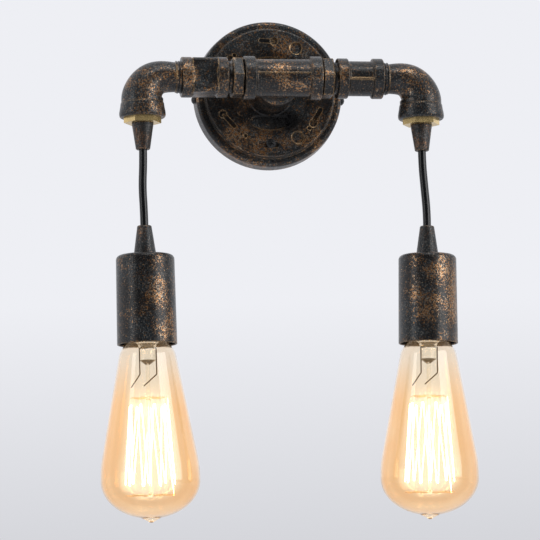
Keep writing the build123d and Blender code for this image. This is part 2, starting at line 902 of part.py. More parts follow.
for name, side in SIDES.items():
    bow_offset, bow_height = cord_bows[name]
    grip_mouth = pendant_section(name)
    route = [
        (side * drop_x, -pipe_depth, cord_start_height),
        (side * drop_x, -pipe_depth, cord_start_height - cord_exit_run),
        (side * drop_x + bow_offset, -pipe_depth, bow_height),
        tuple(grip_mouth.origin + grip_mouth.y_dir * cord_entry_run),
        tuple(grip_mouth.origin),
    ]
    print(name, "cord route", [tuple(round(value, 2) for value in point) for point in route])
    bends = corner_radii(route)
    cord = round_tube(route, cord_radius, bends)
    runs = [math.dist(start, end) for start, end in zip(route, route[1:])]
    swept_length = cord.part.volume / (math.pi * cord_radius ** 2)
    print(name, "cord radii", [round(bend) for bend in bends])
    print(name, "cord runs", round(sum(runs), 2), "volume / section", round(swept_length, 2))
    keep(cord, f"{name}_cord")

# ---------------------------------------------------------------------------------------------
# Hanging lamps: what turns with the cup
# ---------------------------------------------------------------------------------------------


def lower_grip(name):
    """The cone on top of the cup, with a threaded end that goes down through it."""
    bore = cord_radius + cord_gap
    thread_end = cup_top - lower_grip_thread
    return turned(
        pendant_section(name),
        [
            (bore, 0),
            (grip_mouth_radius - grip_round, 0),
            (grip_mouth_radius, -grip_round),
            (grip_wide_radius, -lower_grip_length),
            (grip_wide_radius, cup_top),
            (grip_thread_radius, cup_top),
            (grip_thread_radius, thread_end),
            (bore, thread_end),
        ],
    )


def lamp_cup(name):
    """A deep turned cup, open below, with a rounded top edge."""
    hole = grip_thread_radius + thread_gap
    with BuildPart() as cup:
        with BuildSketch(pendant_section(name)):
            with BuildLine():
                FilletPolyline(
                    (hole, cup_top),
                    (cup_top_radius, cup_top),
                    (cup_rim_radius, cup_rim),
                    (cup_rim_radius - cup_wall, cup_rim),
                    (cup_top_radius - cup_wall, cup_top - cup_wall),
                    (hole, cup_top - cup_wall),
                    radius=(cup_corner, cup_lip_round, cup_lip_round, cup_corner - cup_wall),
                )
                Line((hole, cup_top - cup_wall), (hole, cup_top))
            make_face()
        section = pendant_section(name)
        revolve(axis=Axis(section.origin, section.y_dir))
    return cup


def lampholder(name):
    """The ceramic body of the lampholder, with a threaded entry above and a socket below."""
    entry = grip_thread_radius + thread_gap
    entry_bottom = cup_top - lower_grip_thread - thread_gap
    return turned(
        pendant_section(name),
        [
            (entry, holder_top),
            (holder_top_radius, holder_top),
            (holder_radius, holder_top - holder_shoulder),
            (holder_radius, holder_bottom),
            (holder_cavity_radius, holder_bottom),
            (holder_cavity_radius, cavity_top),
            (0, cavity_top),
            (0, entry_bottom - holder_lead_end),
            (entry, entry_bottom - holder_lead_end),
        ],
    )


def screw_shell(name):
    """The thin threaded shell that the bulb screws into."""
    outer = shell_inner_radius + shell_wall
    return turned(
        pendant_section(name),
        [
            (shell_lip_radius, cavity_top),
            (outer, cavity_top),
            (outer, cavity_top - shell_height),
            (shell_inner_radius, cavity_top - shell_height),
            (shell_inner_radius, cavity_top - shell_wall),
            (shell_lip_radius, cavity_top - shell_wall),
        ],
    )


def centre_contact(name):
    """A leaf spring, bowed down to the bulb's base contact."""
    half = contact_length / 2
    with BuildPart() as contact:
        with BuildSketch(pendant_section(name)):
            with BuildLine():
                ThreePointArc((-half, cavity_top), (0, cavity_top - contact_bow), (half, cavity_top))
                Line((half, cavity_top), (half, cavity_top - contact_thickness))
                ThreePointArc(
                    (half, cavity_top - contact_thickness),
                    (0, cavity_top - contact_thickness - contact_bow),
                    (-half, cavity_top - contact_thickness),
                )
                Line((-half, cavity_top - contact_thickness), (-half, cavity_top))
            make_face()
        extrude(amount=contact_width / 2, both=True)
    return contact


def holder_terminals(name):
    """The two terminal screws on the lampholder's top."""
    with BuildPart() as terminals:
        with BuildSketch(pendant_level(name, holder_top)):
            with GridLocations(2 * terminal_offset, 0, 2, 1):
                Circle(terminal_radius)
        extrude(amount=terminal_height)
    return terminals


def holder_lead(name):
    """The cord's end inside the lower grip and the top of the lampholder."""
    lead_end = cup_top - lower_grip_thread - holder_lead_end
    with BuildPart() as lead:
        with BuildSketch(pendant_level(name, lead_end)):
            Circle(cord_radius)
        extrude(amount=-lead_end)
    return lead


for name in SIDES:
    keep(lower_grip(name), f"{name}_lower_grip")
    keep(lamp_cup(name), f"{name}_cup")
    cup_nut_plane = pendant_level(name, holder_top)
    cup_nut = hexagon_nut(cup_nut_plane, cup_nut_flats, cup_nut_height, grip_thread_radius + thread_gap)
    keep(cup_nut, f"{name}_cup_nut")
    keep(lampholder(name), f"{name}_lampholder")
    keep(screw_shell(name), f"{name}_screw_shell")
    keep(centre_contact(name), f"{name}_centre_contact")
    keep(holder_terminals(name), f"{name}_holder_terminals")
    keep(holder_lead(name), f"{name}_holder_lead")

# ---------------------------------------------------------------------------------------------
# Bulbs
# ---------------------------------------------------------------------------------------------


def bulb_section(name):
    """A section through a bulb, from the tip of its base contact: y is up its axis."""
    section = pendant_section(name)
    return Plane(origin=section.from_local_coords((0, bulb_tip, 0)), x_dir=section.x_dir, z_dir=section.z_dir)


def bulb_contact(name):
    """The soldered button on the cap's end."""
    return turned(
        bulb_section(name),
        [
            (0, 0),
            (bulb_contact_tip_radius, -bulb_contact_dome),
            (bulb_contact_radius, bulb_contact_edge - bulb_contact_height),
            (bulb_contact_radius, -bulb_contact_height),
            (0, -bulb_contact_height),
        ],
    )


def cap_insulator(name):
    """The dark glass cone between the button and the threaded cap."""
    top = -bulb_contact_height
    bottom = top - cap_insulator_height
    return turned(
        bulb_section(name),
        [(0, top), (cap_insulator_top_radius, top), (cap_insulator_radius, bottom), (0, bottom)],
    )


def bulb_cap(name):
    """The thin screw cap, with ring-shaped threads and a plain skirt."""
    thread_top = -(bulb_contact_height + cap_insulator_height)
    outline = [(cap_insulator_radius - cap_wall, thread_top), (cap_root_radius, thread_top)]
    for turn in range(cap_thread_turns):
        crest = thread_top - (turn + 0.5) * cap_thread_pitch
        outline.append((cap_crest_radius, crest))
        outline.append((cap_root_radius, crest - cap_thread_pitch / 2))
    skirt_top = outline[-1][1]
    skirt_bottom = skirt_top - cap_skirt_height
    outline += [
        (cap_crest_radius, skirt_top - cap_skirt_slope),
        (cap_crest_radius, skirt_bottom),
        (cap_crest_radius - cap_wall, skirt_bottom),
        (cap_crest_radius - cap_wall, skirt_top - cap_inner_slope),
    ]
    for turn in reversed(range(cap_thread_turns)):
        crest = thread_top - (turn + 0.5) * cap_thread_pitch
        outline.append((cap_root_radius - cap_wall, crest - cap_thread_pitch / 2))
        outline.append((cap_crest_radius - cap_wall, crest))
    outline.append((cap_insulator_radius - cap_wall, thread_top - cap_wall))
    return turned(bulb_section(name), outline)


def glass_side(inset):
    """The bulb's outline from its neck to its belly, drawn an inset inside its outer surface."""
    shoulder = (glass_shoulder_radius - inset, -glass_shoulder_drop)
    cone_end = (glass_cone_radius - inset, -glass_cone_drop)
    belly = (glass_belly_radius - inset, -glass_belly_drop)
    with BuildLine() as side:
        neck = Line((glass_neck_radius - inset, -glass_start), (glass_neck_radius - inset, -glass_neck_drop))
        Spline(
            neck @ 1,
            shoulder,
            tangents=[glass_neck_flare, (cone_end[0] - shoulder[0], cone_end[1] - shoulder[1])],
        )
        cone = Line(shoulder, cone_end)
        Spline(cone_end, belly, tangents=[cone % 1, (0, -1)])
    return side.line


def glass_outside():
    """Half of the outer outline: the bowl ends in a drawn tip."""
    centre = (0, -glass_belly_drop)
    with BuildLine() as outline:
        add(glass_side(0))
        bowl = EllipticalCenterArc(
            centre,
            glass_belly_radius,
            glass_bowl_height,
            start_angle=-glass_tip_angle,
            arc_size=glass_tip_angle,
        )
        Polyline(
            bowl @ 0,
            (glass_tip_end_radius, -glass_tip_drop),
            (0, -glass_tip_drop),
            (0, -glass_start),
            (glass_neck_radius, -glass_start),
        )
    return outline.line


def glass_inside():
    """Half of the inner outline: the bowl is closed below."""
    centre = (0, -glass_belly_drop)
    with BuildLine() as outline:
        add(glass_side(glass_wall))
        bowl = EllipticalCenterArc(
            centre,
            glass_belly_radius - glass_wall,
            glass_bowl_height - glass_wall,
            start_angle=-90,
            arc_size=90,
        )
        Polyline(bowl @ 0, (0, -glass_start), (glass_neck_radius - glass_wall, -glass_start))
    return outline.line


def bulb_glass(name):
    """The blown glass: a long pear shape with a drawn tip at the bottom."""
    section = bulb_section(name)
    with BuildPart() as glass:
        with BuildSketch(section):
            with BuildLine():
                add(glass_outside())
            make_face()
            with BuildLine():
                add(glass_inside())
            make_face(mode=Mode.SUBTRACT)
        revolve(axis=Axis(section.origin, section.y_dir))
    return glass


def bulb_stem(name):
    """The glass stem: a flare at the neck, a pinched tube and the long rod below it."""
    return turned(
        bulb_section(name),
        [
            (0, -stem_flare_drop),
            (stem_flare_radius, -stem_flare_drop),
            (stem_flare_foot_radius, -stem_flare_drop - stem_flare_foot_height),
            (stem_tube_radius, -stem_flare_drop - stem_flare_height),
            (stem_tube_radius, -stem_pinch_drop + stem_pinch_height / 2),
            (stem_rod_radius, -stem_pinch_drop - stem_pinch_height / 2),
            (stem_rod_radius, -filament_top_drop + stem_hub_rise),
            (stem_hub_radius, -filament_top_drop),
            (stem_rod_radius, -filament_top_drop - stem_hub_run),
            (stem_rod_radius, -filament_low_drop + stem_hub_run),
            (stem_hub_radius, -filament_low_drop),
            (0, -filament_low_drop - stem_hub_run),
        ],
    )


def bulb_point(name, radius, angle, drop):
    """A point in a bulb at a radius and angle from its axis, below the tip of its cap."""
    turn = math.radians(angle)
    return bulb_section(name).from_local_coords((radius * math.cos(turn), -drop, radius * math.sin(turn)))


def bulb_leads(name):
    """The two lead wires, straight down beside the stem and then bent aside to the filament."""
    section = bulb_section(name)
    with BuildPart() as leads:
        for x_start, (x_end, end_drop) in zip((-lead_wire_spread, lead_wire_spread), lead_wire_ends):
            route = [
                section.from_local_coords((x_start, -lead_wire_top, lead_wire_front)),
                section.from_local_coords((x_start, -lead_kick_drop, lead_wire_front)),
                section.from_local_coords((x_end, -end_drop, lead_wire_front)),
            ]
            wire = round_tube(route, lead_wire_radius, lead_wire_bend)
            add(wire.part)
    return leads


def filament_supports(name):
    """Fine hooks that stand out from the rod like spokes, above and below the filament."""
    section = bulb_section(name)
    with BuildPart() as supports:
        for radius, drop, phase in (
            (filament_top_radius, filament_top_drop, 0),
            (filament_low_radius, filament_low_drop, 180 / filament_loops),
        ):
            for loop in range(filament_loops):
                angle = math.radians(phase + loop * 360 / filament_loops)
                outwards = section.x_dir * math.cos(angle) + section.z_dir * math.sin(angle)
                foot = section.from_local_coords((0, -drop, 0)) + outwards * (stem_hub_radius + spoke_gap)
                with BuildSketch(Plane(origin=foot, z_dir=outwards)):
                    Circle(support_wire_radius)
                extrude(amount=radius - filament_wire_radius - stem_hub_radius - 2 * spoke_gap)
    return supports


def bulb_filament(name):
    """One long wire that runs up and down round the rod from hook to hook."""
    points = []
    for loop in range(filament_loops):
        angle = loop * 360 / filament_loops
        half_step = 180 / filament_loops
        points.append(bulb_point(name, filament_top_radius, angle, filament_top_drop))
        points.append(bulb_point(name, filament_low_radius, angle + half_step, filament_low_drop))
    with BuildPart() as filament:
        with BuildLine() as route:
            FilletPolyline(points, radius=filament_turn_radius)
        with BuildSketch(Plane(origin=route.line @ 0, z_dir=route.line % 0)):
            Circle(filament_wire_radius)
        sweep(path=route.line)
    return filament


for name in SIDES:
    keep(bulb_contact(name), f"{name}_bulb_contact")
    keep(cap_insulator(name), f"{name}_bulb_insulator")
    keep(bulb_cap(name), f"{name}_bulb_cap")
    keep(bulb_glass(name), f"{name}_bulb_glass")
    keep(bulb_stem(name), f"{name}_bulb_stem")
    keep(bulb_leads(name), f"{name}_bulb_leads")
    keep(filament_supports(name), f"{name}_bulb_supports")
    keep(bulb_filament(name), f"{name}_bulb_filament")
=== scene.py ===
"""Industrial pipe wall light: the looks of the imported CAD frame.

Metres. The origin is the middle of the wall plate's back, +X is to the right as seen from the
room, +Y goes into the wall and +Z is up.
"""

import logging
import math
from dataclasses import dataclass
from enum import Enum

import bmesh
import bpy
import numpy as np
from mathutils import Matrix, Vector


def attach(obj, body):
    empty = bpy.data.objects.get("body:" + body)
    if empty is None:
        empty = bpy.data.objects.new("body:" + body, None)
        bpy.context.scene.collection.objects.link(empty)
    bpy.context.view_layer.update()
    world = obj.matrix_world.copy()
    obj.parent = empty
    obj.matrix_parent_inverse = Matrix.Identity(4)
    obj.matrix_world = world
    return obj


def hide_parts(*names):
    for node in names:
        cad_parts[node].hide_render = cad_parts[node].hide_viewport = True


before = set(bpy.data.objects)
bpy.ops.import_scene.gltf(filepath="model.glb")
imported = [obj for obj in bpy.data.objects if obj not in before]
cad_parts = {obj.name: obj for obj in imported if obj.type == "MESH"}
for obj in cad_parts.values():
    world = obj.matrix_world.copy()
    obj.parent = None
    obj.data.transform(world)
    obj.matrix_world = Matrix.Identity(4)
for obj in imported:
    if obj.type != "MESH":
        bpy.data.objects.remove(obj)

LOG = logging.getLogger("pipe_wall_light")
MM = 0.001
Colour = tuple[float, float, float]
Point = tuple[float, float, float]
Socket = bpy.types.NodeSocket
Value = Socket | float
Inputs = dict[str | int, object]

# Millimetres: from the wall to the pipes' axis, and from the middle to an elbow's lower axis
PIPE_DEPTH = 68.5
ARM_REACH = 93.7

# Degrees: faces that meet at less are one face, and edges that turn by more are sharp
FLAT_ANGLE = 0.4
SHARP_ANGLE = 32.0
# Metres: corners nearer than this are one corner
MERGE_REACH = 1e-6


class Side(Enum):
    """The two arms of the light."""

    LEFT = "left"
    RIGHT = "right"

    @property
    def sign(self) -> int:
        """-1 on the left and +1 on the right."""
        return -1 if self is Side.LEFT else 1

    def body(self, part: str) -> str:
        """The name of a CAD body or node on this arm."""
        return f"{self.value}_{part}"


# Each cord's x and z from the upper grip's mouth to the lower grip's, in millimetres
COURSES = {
    Side.LEFT: ((-93.7, -48.8), (-93.7, -57.8), (-94.5, -74.0), (-93.68, -90.0), (-93.6, -99.5)),
    Side.RIGHT: ((93.7, -48.8), (93.7, -57.8), (94.65, -72.0), (95.96, -90.0), (95.8, -99.5)),
}


def linear(red: float, green: float, blue: float) -> Colour:
    """Turn a screen colour into a linear one.

    Args:
        red: Red from 0 to 255.
        green: Green from 0 to 255.
        blue: Blue from 0 to 255.

    Returns:
        The linear colour, each part from 0 to 1.
    """

    def one(value: float) -> float:
        """Turn one part."""
        share = value / 255
        return share / 12.92 if share <= 0.04045 else ((share + 0.055) / 1.055) ** 2.4

    return one(red), one(green), one(blue)


# ---- Marks on a finish ----


@dataclass(frozen=True)
class Patch:
    """A soft round patch of a finish, in millimetres: bronze wear, a painted highlight, painted
    shade, or edges left unworn.
    """

    centre: Point
    reach: float
    amount: float


@dataclass(frozen=True)
class SandMark:
    """A shallow slot that the pattern left in the casting, in millimetres."""

    start: Point
    end: Point
    radius: float = 1.9


def patches(*rows: tuple[float, float, float, float, float]) -> tuple[Patch, ...]:
    """Make patches of rows of x, y, z, reach and amount."""
    return tuple(Patch((x, y, z), reach, amount) for x, y, z, reach, amount in rows)


# Where bronze shows more on the fittings and the plate: mostly bronze wear, and in the rows so
# marked, a painted highlight
BRONZE_AND_HIGHLIGHTS = patches(
    (-65.0, -80.0, 0.0, 11.0, 0.38),
    (-78.0, -80.0, -3.0, 13.0, 0.16),
    (-3.0, -82.0, 2.0, 15.0, 0.2),
    (9.0, -80.0, -9.0, 12.0, 0.12),
    (30.0, -82.0, 0.0, 7.0, 0.26),
    (39.0, -82.0, 0.0, 9.0, 0.36),
    (80.0, -80.0, 2.0, 16.0, 0.14),
    (-22.0, -16.0, -26.0, 20.0, 0.16),
    (4.0, -16.0, -32.0, 22.0, 0.13),
    # This row paints a highlight on the window's lower lip
    (-4.0, -16.0, -27.0, 9.0, 0.22),
    (-8.0, -16.0, -36.0, 9.0, 0.2),
    (8.0, -16.0, 34.0, 16.0, 0.12),
    # These two rows paint highlights on the plate's top-left and lower-right
    (-30.0, -16.0, 22.0, 15.0, 0.14),
    (36.0, -16.0, -26.0, 18.0, 0.10),
)
# Where the plate's windows, dish and rim lie in shade
SHADED = patches(
    (14.0, -13.0, -19.0, 12.0, 1.4),
    (5.0, -13.0, -17.0, 10.0, 1.3),
    (-5.0, -13.0, -16.0, 8.0, 0.9),
    (-15.0, -14.0, 20.0, 11.0, 1.0),
    (-46.0, -8.0, -22.0, 22.0, 0.6),
    (-34.0, -16.0, -8.0, 16.0, 0.5),
    (34.0, -16.0, -8.0, 13.0, 0.5),
)
# Edges of the plate that no hand has worn
UNRUBBED = patches(
    (-5.0, -16.2, -35.0, 9.0, 1.4),
    (6.5, -16.2, -35.0, 5.0, 1.4),
    (-7.0, -15.0, -15.6, 9.0, 1.6),
    (2.0, -15.0, -15.6, 9.0, 1.6),
    (11.0, -15.0, -15.6, 9.0, 1.6),
)
# The three keyhole marks on the plate's face
SLOTS = (
    SandMark((3.4, -16.2, 35.8), (-5.6, -16.2, 36.3)),
    SandMark((-32.0, -16.2, -15.6), (-25.1, -16.2, -23.1)),
    SandMark((34.7, -16.2, -11.5), (30.2, -16.2, -18.6)),
)


# ---- Node trees ----


class NodeBuilder:
    """A node tree under construction, with short ways to add its nodes."""

    def __init__(self, tree: bpy.types.NodeTree) -> None:
        """Start from a tree.

        Args:
            tree: The tree.
        """
        self.tree = tree

    def give(self, socket: Socket, value: object) -> None:
        """Give an input a value.

        Args:
            socket: The input.
            value: A socket to link, a colour or a plain value.
        """
        if isinstance(value, bpy.types.NodeSocket):
            self.tree.links.new(value, socket)
        else:
            socket.default_value = (*value, 1.0) if socket.type == "RGBA" else value

    def node(
        self, kind: str, values: Inputs | None = None, **settings: object
    ) -> bpy.types.Node:
        """Add a node.

        Args:
            kind: The node's type.
            values: Its inputs by name or index.
            settings: Its own settings.

        Returns:
            The node.
        """
        made = self.tree.nodes.new(kind)
        for name, value in settings.items():
            setattr(made, name, value)
        for key, value in (values or {}).items():
            self.give(made.inputs[key], value)
        return made

    def steps(
        self, value: Socket, low: float, high: float, start: float = 0.0, end: float = 1.0
    ) -> Socket:
        """Map a range smoothly onto another.

        Args:
            value: What is mapped.
            low: Where the range starts.
            high: Where it ends.
            start: The result at low.
            end: The result at high.

        Returns:
            The mapped value.
        """
        values = {"Value": value, "From Min": low, "From Max": high, "To Min": start, "To Max": end}
        made = self.node("ShaderNodeMapRange", values, interpolation_type="SMOOTHSTEP")
        return made.outputs["Result"]

    def combine(self, operation: str, first: Value, second: Value) -> Socket:
        """Combine two values, with the result held between 0 and 1."""
        values = {0: first, 1: second}
        return self.node("ShaderNodeMath", values, operation=operation, use_clamp=True).outputs[0]

    def plus(self, first: Value, second: Value) -> Socket:
        """Add two values, with the result held between 0 and 1."""
        return self.combine("ADD", first, second)

    def times(self, first: Value, second: Value) -> Socket:
        """Multiply two values, with the result held between 0 and 1."""
        return self.combine("MULTIPLY", first, second)

    def mix(
        self, share: Value, first: Socket | Colour, second: Socket | Colour, **settings: object
    ) -> Socket:
        """Mix two colours.

        Args:
            share: The share of the second.
            first: The first colour.
            second: The second colour.
            settings: The node's own settings.

        Returns:
            The mixed colour.
        """
        values = {0: share, 6: first, 7: second}
        return self.node("ShaderNodeMix", values, data_type="RGBA", **settings).outputs[2]

    def seen(self) -> Socket:
        """Test what is seen directly, in gloss or through glass.

        Returns:
            1 for such a ray and 0 for the rest.
        """
        path = self.node("ShaderNodeLightPath").outputs
        passed_on = self.combine("MAXIMUM", path["Is Glossy Ray"], path["Is Transmission Ray"])
        return self.combine("MAXIMUM", path["Is Camera Ray"], passed_on)


class Shader(NodeBuilder):
    """A material under construction."""

    samples = 6
    spread = Vector((1.0, 0.7, 1.3))

    def __init__(self, name: str) -> None:
        """Start a material with a Principled shader.

        Args:
            name: The material's name.
        """
        self.material = bpy.data.materials.new(name)
        self.material.use_nodes = True
        super().__init__(self.material.node_tree)
        self.surface = self.tree.nodes["Principled BSDF"]
        self.place = self.node("ShaderNodeTexCoord").outputs["Object"]

    def vector(self, operation: str, first: object, second: object) -> bpy.types.NodeOutputs:
        """Combine two vectors.

        Args:
            operation: How they are combined.
            first: The first vector.
            second: The second vector.

        Returns:
            The node's outputs: "Vector", and "Value" for a plain number.
        """
        values = {0: first, 1: second}
        return self.node("ShaderNodeVectorMath", values, operation=operation).outputs

    def noise(
        self, scale: float, detail: float = 2.0, roughness: float = 0.6, shift: float = 0.0
    ) -> Socket:
        """Add a noise pattern.

        Args:
            scale: Repeats to the metre.
            detail: Octaves.
            roughness: Share of the finer octaves.
            shift: Distance in metres that moves the pattern, so that two differ.

        Returns:
            The pattern, from 0 to 1.
        """
        moved = self.vector("ADD", self.place, self.spread * shift)["Vector"]
        values = {"Vector": moved, "Scale": scale, "Detail": detail, "Roughness": roughness}
        return self.node("ShaderNodeTexNoise", values).outputs["Fac"]

    def height(self) -> Socket:
        """The height above the origin, in metres."""
        return self.node("ShaderNodeSeparateXYZ", {0: self.place}).outputs["Z"]

    def spot(self, patch: Patch) -> Socket:
        """Add a soft round patch: its amount at its centre, and 0 outside it."""
        away = self.vector("DISTANCE", self.place, Vector(patch.centre) * MM)["Value"]
        return self.steps(away, 0.0, patch.reach * MM, patch.amount, 0.0)

    def rounded(self, radius: float) -> Socket:
        """The normal with the edges' shading rounded to a radius, in metres."""
        return self.node("ShaderNodeBevel", {"Radius": radius}, samples=self.samples).outputs[0]

    def edges(self, normal: Socket) -> Socket:
        """Find the edges.

        Args:
            normal: The rounded normal.

        Returns:
            1 at an edge and 0 away from it.
        """
        surface_normal = self.node("ShaderNodeNewGeometry").outputs["Normal"]
        match = self.vector("DOT_PRODUCT", normal, surface_normal)["Value"]
        return self.steps(match, 0.9, 0.99, 1.0, 0.0)

    def hollows(self, reach: float) -> Socket:
        """Find the corners and narrow gaps.

        Args:
            reach: How far off a neighbour still counts, in metres.

        Returns:
            1 deep in a gap and 0 in the open.
        """
        values = {"Distance": reach}
        light = self.node("ShaderNodeAmbientOcclusion", values, samples=self.samples).outputs["AO"]
        return self.steps(light, 0.25, 0.8, 1.0, 0.0)

    def groove(self, start: Point, end: Point) -> Socket:
        """Measure how far the surface is from a line.

        Args:
            start: Where the line starts, in millimetres.
            end: Where it ends, in millimetres.

        Returns:
            The distance in metres.
        """
        first, run = Vector(start) * MM, (Vector(end) - Vector(start)) * MM
        from_start = self.vector("SUBTRACT", self.place, first)["Vector"]
        along_run = self.vector("DOT_PRODUCT", from_start, run / run.length_squared)["Value"]
        # Adding nothing holds the share between the line's ends
        values = {0: run, "Scale": self.plus(along_run, 0.0)}
        nearest = self.node("ShaderNodeVectorMath", values, operation="SCALE").outputs["Vector"]
        return self.vector("DISTANCE", from_start, nearest)["Value"]

    def bump(
        self, height: Socket, strength: float, depth: float, normal: Socket | None = None
    ) -> None:
        """Raise the surface by a pattern.

        Args:
            height: The pattern.
            strength: Share of the depth that shows.
            depth: Depth in metres.
            normal: The normal that it starts from, where that isn't the surface's own.
        """
        values = {"Height": height, "Strength": strength, "Distance": depth}
        if normal is not None:
            values["Normal"] = normal
        self.give(self.surface.inputs["Normal"], self.node("ShaderNodeBump", values).outputs[0])

    def finish(self, **values: object) -> bpy.types.Material:
        """Set the Principled shader's inputs, with _ for a space in their names.

        Args:
            values: Each a value, a colour or a socket.

        Returns:
            The finished material.
        """
        for name, value in values.items():
            self.give(self.surface.inputs[name.replace("_", " ")], value)
        return self.material


class GeometryTree(NodeBuilder):
    """A Geometry Nodes tree under construction, with named inputs for its sizes."""

    def __init__(self, name: str) -> None:
        """Start a tree.

        Args:
            name: The tree's name.
        """
        super().__init__(bpy.data.node_groups.new(name, "GeometryNodeTree"))
        self.tree.interface.new_socket(
            "Geometry", in_out="OUTPUT", socket_type="NodeSocketGeometry"
        )
        self.inputs = self.node("NodeGroupInput")
        self.output = self.node("NodeGroupOutput")
        self.names: dict[str, str] = {}

    def size(self, name: str, kind: str = "NodeSocketFloat") -> Socket:
        """Add a named input.

        Args:
            name: The input's name.
            kind: Its socket type.

        Returns:
            Its socket inside the tree.
        """
        item = self.tree.interface.new_socket(name, in_out="INPUT", socket_type=kind)
        self.names[name] = item.identifier
        return self.inputs.outputs[name]

    def close(self, geometry: Socket, material: Socket) -> None:
        """End the tree in Realize Instances and Set Material.

        Args:
            geometry: What the tree has made.
            material: Its material.
        """
        real = self.node("GeometryNodeRealizeInstances", {0: geometry}).outputs[0]
        values = {"Geometry": real, "Material": material}
        dressed = self.node("GeometryNodeSetMaterial", values).outputs[0]
        self.tree.links.new(dressed, self.output.inputs[0])

    def piece(self, name: str, values: dict[str, object], place: Matrix) -> bpy.types.Object:
        """Run the tree and keep its result as a plain mesh.

        Args:
            name: The piece's name.
            values: The tree's inputs by name.
            place: Where the result goes.

        Returns:
            The piece, with its place in its mesh.
        """
        carrier = placed(f"{name}_carrier", bpy.data.meshes.new(f"{name}_carrier"))
        modifier = carrier.modifiers.new("tree", "NODES")
        modifier.node_group = self.tree
        for key, value in values.items():
            modifier[self.names[key]] = value
        result = evaluated(carrier, name)
        result.transform(place)
        return placed(name, result)


# ---- Finishes ----


@dataclass(frozen=True)
class AgedIron:
    """Dark cast iron: brown and bronze grains, a cool cloud, worn edges and painted shade in its
    hollows.
    """

    name: str
    dark: Colour = linear(23, 23, 24)
    cool: Colour = linear(34, 42, 47)
    brown: Colour = linear(80, 58, 42)
    bronze: Colour = linear(182, 130, 82)
    tan: Colour = linear(176, 158, 134)
    pale: Colour = linear(124, 120, 114)
    # Near-black: the grain's fine pits, and the painted shade in hollows, on the marks' floors and
    # in the shaded patches
    pits_and_shade: Colour = linear(7, 7, 9)
    edge: Colour = linear(198, 162, 116)
    cover: float = 0.56
    zones: float = 58.0
    clouds: float = 44.0
    grain: float = 780.0
    shift: float = 0.0
    roughness: float = 0.28
    rounding: float = 1.2
    hollow_reach: float = 4.0
    skin: float = 0.5
    patches: tuple[Patch, ...] = ()
    shadows: tuple[Patch, ...] = ()
    unrubbed: tuple[Patch, ...] = ()
    marks: tuple[SandMark, ...] = ()

    def stamped(
        self, shader: Shader, grain: Socket, colour: Socket, height: Socket
    ) -> tuple[Socket, Socket]:
        """Sink the marks, with painted shade on their floors and wear round their rims.

        Args:
            shader: The material under construction.
            grain: Its grain.
            colour: Its colour so far.
            height: Its height so far.

        Returns:
            The colour and the height with the marks.
        """
        for mark in self.marks:
            away = shader.groove(mark.start, mark.end)
            radius = mark.radius * MM
            floor = shader.steps(away, 0.72 * radius, 1.02 * radius, 1.0, 0.0)
            rim = shader.times(floor, shader.steps(away, 0.6 * radius, 0.95 * radius))
            # Painted shade on the marks' floors
            colour = shader.mix(shader.times(floor, 0.85), colour, self.pits_and_shade)
            colour = shader.mix(shader.times(rim, shader.steps(grain, 0.3, 0.6)), colour, self.edge)
            height = shader.combine("SUBTRACT", height, floor)
        return colour, height

    def material(self) -> bpy.types.Material:
        """Build the material."""
        shader = Shader(self.name)
        normal = shader.rounded(self.rounding * MM)
        broad = shader.noise(self.zones, 4, 0.62, self.shift)
        for patch in self.patches:
            broad = shader.plus(broad, shader.spot(patch))
        zone = shader.steps(broad, self.cover - 0.11, self.cover + 0.15)
        grain = shader.noise(self.grain, 2, 0.8, self.shift + 0.3)
        fine = shader.noise(self.grain * 1.9, 1, 0.7, self.shift + 0.7)
        other = shader.noise(self.grain * 1.25, 1, 0.7, self.shift + 1.7)
        cloud = shader.steps(shader.noise(self.clouds, 3, 0.6, self.shift + 1.1), 0.42, 0.62)
        base = shader.mix(cloud, self.dark, self.cool)
        base = shader.mix(shader.times(zone, shader.steps(grain, 0.36, 0.6)), base, self.brown)
        rub = shader.steps(shader.plus(grain, shader.times(zone, 0.17)), 0.6, 0.72)
        copper = shader.mix(shader.steps(other, 0.46, 0.6), self.bronze, self.tan)
        colour = shader.mix(rub, base, copper)
        dusty = shader.steps(cloud, 0.0, 1.0, 0.22, 0.6)
        colour = shader.mix(
            shader.times(shader.steps(other, 0.53, 0.66), dusty), colour, self.pale
        )
        colour = shader.mix(shader.steps(fine, 0.36, 0.5, 0.9, 0.0), colour, self.pits_and_shade)
        worn = shader.times(shader.edges(normal), shader.steps(grain, 0.36, 0.56, 0.25, 0.95))
        for patch in self.unrubbed:
            worn = shader.combine("SUBTRACT", worn, shader.spot(patch))
        colour = shader.mix(worn, colour, self.edge)
        # Painted shade: corners and narrow gaps darkened towards near-black
        hollow_shade = shader.times(shader.hollows(self.hollow_reach * MM), 0.92)
        colour = shader.mix(hollow_shade, colour, self.pits_and_shade)
        for patch in self.shadows:
            colour = shader.mix(shader.spot(patch), colour, self.pits_and_shade)
        height = shader.plus(shader.times(grain, 0.6), shader.times(fine, 0.4))
        colour, height = self.stamped(shader, grain, colour, height)
        shader.bump(height, 0.3, self.skin * MM, normal)
        bright = shader.combine("MAXIMUM", rub, worn)
        rough = self.roughness
        return shader.finish(
            Base_Color=colour,
            Metallic=shader.steps(bright, 0.0, 1.0, 0.2, 0.7),
            Roughness=shader.steps(grain, 0.3, 0.7, rough + 0.12, rough - 0.06),
            Specular_IOR_Level=0.5,
        )


